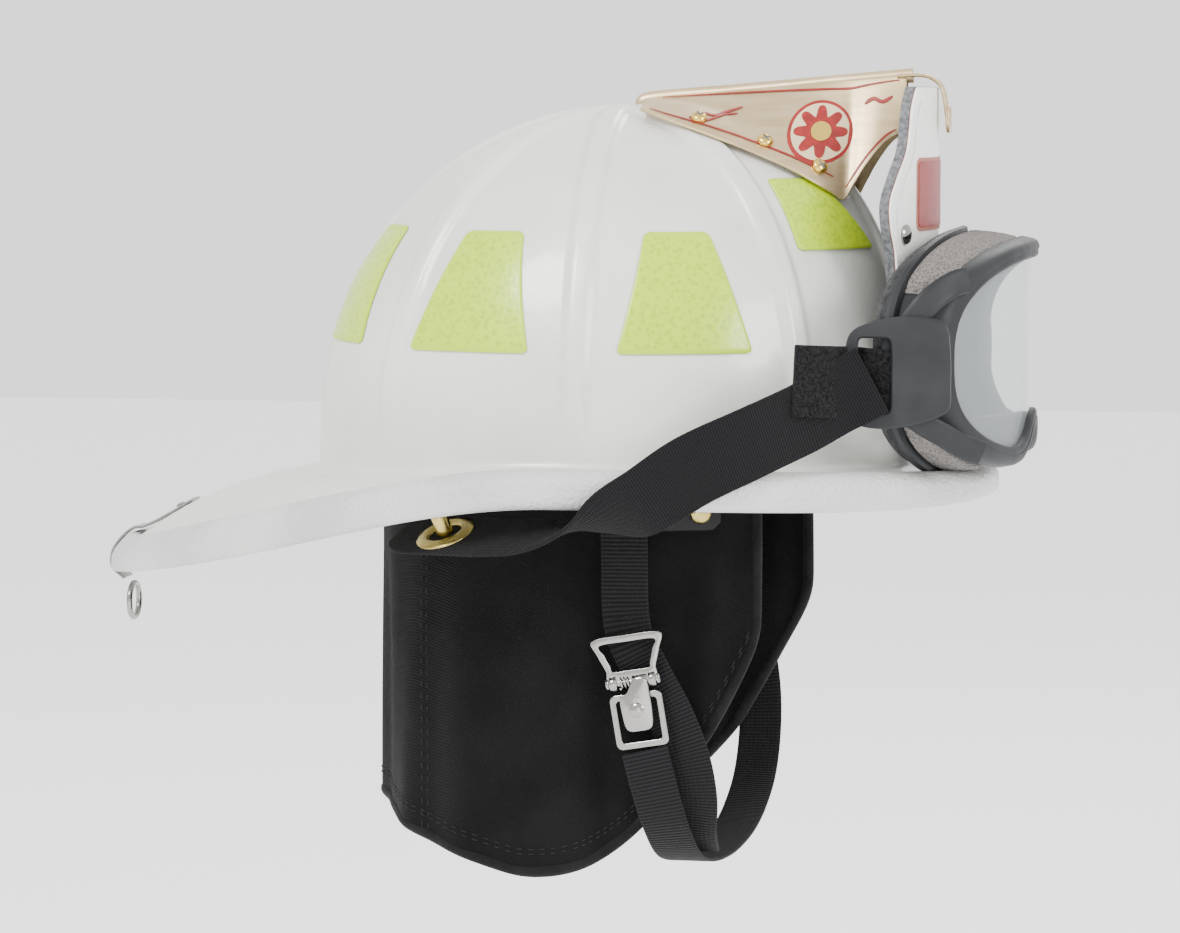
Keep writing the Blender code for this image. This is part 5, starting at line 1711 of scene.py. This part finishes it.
def make_neck_protector(looks):
    columns, steps = 260, 60
    rows = []
    for k in range(columns + 1):
        u = 2 * k / columns - 1
        outer = [neck_point(u, j / steps, NECK_THICK / 2) for j in range(steps + 1)]
        inner = [neck_point(u, j / steps, -NECK_THICK / 2) for j in range(steps + 1)]
        rows.append(outer + inner[::-1])
    cloth = skin("neck_protector_cloth", rows, [looks["cloth"]], slot_name="cloth_black", sharp=60)
    ride(cloth, "helmet", "neck_protector")
    hem = [neck_point(2 * k / 200 - 1, 1.0) for k in range(201)]
    edge_right = [neck_point(-1.0, k / 24) for k in range(2, 24)]
    edge_left = [neck_point(1.0, 1 - k / 24) for k in range(1, 23)]
    path = edge_right + hem + edge_left
    binding = tube("protector_hem_binding", rounded_corners(path), 0.0024, looks["binding"], 12,
                   slot_name="cloth_black")
    stitches = seam_stitches(looks)
    ride(binding, "helmet")
    ride(stitches, "helmet")


def rounded_corners(path):
    """Smooths the path's corners with a few passes of averaging."""
    points = [p.copy() for p in path]
    for _ in range(6):
        points = [points[0]] + [(a + 2 * b + c) / 4 for a, b, c in zip(points, points[1:], points[2:])] \
            + [points[-1]]
    return points


def seam_stitches(looks):
    """Lines of stitching: one above the hem and one down each rear seam."""
    lines = []
    for lift in (0.0075, 0.0095):
        line = []
        for k in range(221):
            u = 1.96 * k / 220 - 0.98
            depth = NECK_TOP - neck_hem(neck_plan(u).x)
            line.append(neck_point(u, 1 - lift / depth, NECK_THICK / 2 + 0.0001))
        lines.append(line)
    for u in (-0.285, 0.285):
        for shift in (-0.006, 0.006):
            lines.append([neck_point(u + shift, k / 60, NECK_THICK / 2 + 0.0001) for k in range(60)])
    pieces = []
    for line in lines:
        for a, b in zip(line[::2], line[1::2]):
            ends = [a.lerp(b, share) for share in (0.05, 0.5, 0.95)]
            pieces.append(tube("stitch", ends, 0.0003, looks["thread"], 5, slot_name="cloth_black"))
    return join("protector_stitching", pieces)


# ---------------------------------------------------------------- inside of the helmet

def kept_node(node, material):
    """A CAD node that is shown as it is, with a finish on each of its slots."""
    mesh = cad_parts[node].data
    for k in range(max(len(mesh.materials), 1)):
        if mesh.materials:
            mesh.materials[k] = material
        else:
            mesh.materials.append(material)


def make_impact_cap(looks):
    outer, inner, columns = 0.0048, 0.0188, 120
    angles = [TAU * k / columns for k in range(columns)]
    turns = [0.03 + (0.86 - 0.03) * k / 30 for k in range(31)]
    rings = [[polar(a, *dome_point(a, turn, outer)) for a in angles] for turn in turns]
    edge = ((outer, 0.0082), (outer + 0.003, 0.0070), (inner - 0.003, 0.0070), (inner, 0.0082))
    for inset, height in edge:
        rings.append([dome_at_height(a, height, inset) for a in angles])
    rings += [[polar(a, *dome_point(a, turn, inner)) for a in angles] for turn in reversed(turns)]
    cap = skin("impact_cap_liner", rings, [looks["cap"]], slot_name="foam_black", sharp=60)
    ride(cap, "helmet", "impact_cap")


def band_point(angle, inset, height):
    power = 2 / 2.6
    x = (0.090 - inset) * math.copysign(abs(math.cos(angle)) ** power, math.cos(angle))
    y = (0.080 - inset) * math.copysign(abs(math.sin(angle)) ** power, math.sin(angle))
    return Vector((x, y, height))


def band_piece(name, end, inset, low, high, thick, material, slot_name, bulge=0.0, columns=180):
    """A curved band with soft edges; bulge fills its middle towards the head."""
    rings = []
    corner = (high - low) / 2
    for k in range(columns + 1):
        angle = end * (2 * k / columns - 1)
        away = min(k, columns - k) / columns * 2 * end * 0.085
        shrink = 0.0
        if away < corner * 0.5:
            shrink = corner * 0.5 - math.sqrt(max((corner * 0.5) ** 2 - (corner * 0.5 - away) ** 2, 0))
        ring = []
        for side in (-1, 1):
            for j in range(13):
                share = j / 12 if side < 0 else 1 - j / 12
                z = low + shrink + (high - low - 2 * shrink) * share
                edge = math.sqrt(max(1 - (2 * share - 1) ** 6, 0.12))
                depth = side * thick / 2 * edge
                if side > 0:
                    depth += bulge * (1 - (2 * share - 1) ** 2) * smoothstep(away / 0.01)
                ring.append(band_point(angle, inset + depth, z))
        rings.append(ring)
    return skin(name, rings, [material], slot_name=slot_name, sharp=55)


def crown_path(half_span, apex, rear_foot):
    spring, foot = 0.022, 0.010
    points = [(-half_span, rear_foot)]
    for k in range(41):
        angle = math.pi * k / 40
        run, height = -half_span * math.cos(angle), spring + (apex - spring) * math.sin(angle)
        if run > 0 or height > rear_foot + 0.004:
            points.append((run, height))
    return points + [(half_span, foot)]


def crown_tape(looks, node, half_span, apex, along_x, rear_foot):
    points = crown_path(half_span, apex, rear_foot)
    if along_x:
        path, up = [Vector((a, 0, b)) for a, b in points], Vector((0, 1, 0))
    else:
        path, up = [Vector((0, a, b)) for a, b in points], Vector((1, 0, 0))
    piece = tape(node + "_webbing", path, [up] * len(path), 0.019, 0.0014, looks["webbing"],
                 "elastic_black", 12)
    ride(piece, "helmet", node)


def make_suspension(looks):
    band = band_piece("headband_strip", math.radians(157), 0.0, -0.006, 0.026, 0.0016, looks["polymer"],
                      "band_black")
    ride(band, "helmet", "headband")
    pad = band_piece("brow_cushion", math.radians(62), 0.0033, -0.004, 0.024, 0.0040, looks["pad"],
                     "foam_black", 0.0012)
    ride(pad, "helmet", "brow_pad")
    crown_tape(looks, "crown_strap_fore_aft", 0.0920, 0.112, True, 0.0295)
    crown_tape(looks, "crown_strap_cross", 0.0820, 0.108, False, 0.010)
    top = 0.108 - 0.0014 - 0.006
    profile = [(0.0004, top - 0.0062)]
    for k in range(9):
        bend = math.pi / 2 * k / 8
        profile.append((0.0275 + 0.0025 * math.sin(bend), top - 0.0037 - 0.0025 * math.cos(bend)))
    for k in range(9):
        bend = math.pi / 2 * k / 8
        profile.append((0.0275 + 0.0025 * math.cos(bend), top - 0.0025 + 0.0025 * math.sin(bend)))
    profile.append((0.0004, top + 0.0004))
    cushion = lathe("crown_cushion", profile, Matrix(), looks["pad"], 72, "foam_black")
    ride(cushion, "helmet", "crown_pad")


def make_ratchet(looks):
    for node in ("rack_right", "rack_left", "ratchet_housing"):
        kept_node(node, looks["polymer"])
    axle = aim((0.0, 0.0, 0.014), (-1.0, 0.0, 0.0))
    grip = 0.0965 + 0.0005
    rings = []
    for k in range(240):
        angle = TAU * k / 240
        flute = 0.0009 * (0.5 + 0.5 * math.cos(24 * angle)) ** 0.7
        ring = []
        for radius, height, share in (
                (0.0004, 0.0856, 0), (0.0042, 0.0856, 0), (0.0042, grip, 0), (0.0138, grip + 0.0004, 0),
                (0.0146, grip + 0.0010, 1), (0.0150, grip + 0.0022, 1), (0.0150, grip + 0.0050, 1),
                (0.0144, grip + 0.0064, 1), (0.0134, grip + 0.0071, 0.3), (0.0100, grip + 0.0072, 0),
                (0.0086, grip + 0.0064, 0), (0.0004, grip + 0.0062, 0)):
            reach = radius - flute * share
            ring.append(axle @ Vector((reach * math.cos(angle), reach * math.sin(angle), height)))
        rings.append(ring)
    knob = skin("ratchet_knob_body", rings, [looks["polymer"]], loop=True, slot_name="band_black", sharp=35)
    ride(knob, "ratchet_knob", "ratchet_knob")
    pad = block("nape_cushion", (-0.0140, -0.027, -0.0025), (0.0140, 0.027, 0.0025), looks["pad"], 0.0016,
                "foam_black", Matrix.Translation((-0.0802, 0, 0.014)) @ Matrix.Rotation(math.pi / 2, 4, "Y"))
    ride(pad, "helmet", "nape_pad")


def make_hanger(looks):
    edge, half = brim_radius(math.pi), TRIM_HALF_END + 0.0011
    stations = ((edge - 0.034, 0.0026), (edge - 0.022, 0.0026), (edge - 0.0125, 0.0045),
                (edge - 0.0075, half + 0.0006), (edge - 0.0020, half + 0.0006))
    over = [Vector((-r, 0.0, brim_height(math.pi, r) + up)) for r, up in stations]
    edge_z = brim_edge(math.pi)
    over += [Vector((-edge - 0.0019, 0.0, edge_z + 0.0030)), Vector((-edge - 0.0019, 0.0, edge_z - 0.0036)),
             Vector((-edge + 0.0035, 0.0, edge_z - half - 0.0016))]
    path = smooth_path(over, 8)
    clip = tape("hanger_clip", path, [Vector((0, 1, 0))] * len(path), 0.014, 0.0012, looks["nickel"],
                "nickel", 10)
    profile = ((0.0024, 0.0), (0.0025, 0.0005), (0.0019, 0.0011), (0.0008, 0.0014), (0.0002, 0.0014))
    spot = (over[0] + over[1]) / 2 + Vector((0, 0, 0.0005))
    rivet = lathe("hanger_rivet", profile, aim(spot, (-0.3, 0, 1)), looks["nickel"], 32, "nickel")
    ride(join("hanger_bracket_body", [clip, rivet]), "helmet", "hanger_bracket")
    top = over[-1] + Vector((0.0025, 0.0, -0.0026))
    path = []
    for k in range(72):
        angle = TAU * k / 72
        path.append(top + Vector((0, 0.0075 * math.sin(angle), 0.0075 * math.cos(angle) - 0.0075)))
    ring = tube("hanger_ring_wire", path, 0.0013, looks["nickel"], 14, loop=True, slot_name="nickel",
                up=(1, 0, 0))
    ride(ring, "hanger_ring", "hanger_ring")


# ---------------------------------------------------------------- everything together

def main():
    look_from(azimuth=10.2, elevation=5.0, distance=1.8, across=-0.01281, up=-0.0027755, focal=128.6)
    studio()
    looks = make_looks()
    make_shell(looks)
    make_trim(looks)
    make_markers(looks)
    make_holder(looks)
    make_shield(looks)
    make_goggle_frame(looks)
    make_vent_foam(looks)
    make_face_pad(looks)
    make_lens(looks)
    for side, side_name in SIDES:
        make_outrigger(looks, -side, side_name)
        make_goggle_strap(looks, side, side_name)
        make_strap_tail(looks, side, side_name)
    make_chin(looks)
    make_anchors(looks)
    make_neck_protector(looks)
    make_impact_cap(looks)
    make_suspension(looks)
    make_ratchet(looks)
    make_hanger(looks)


main()
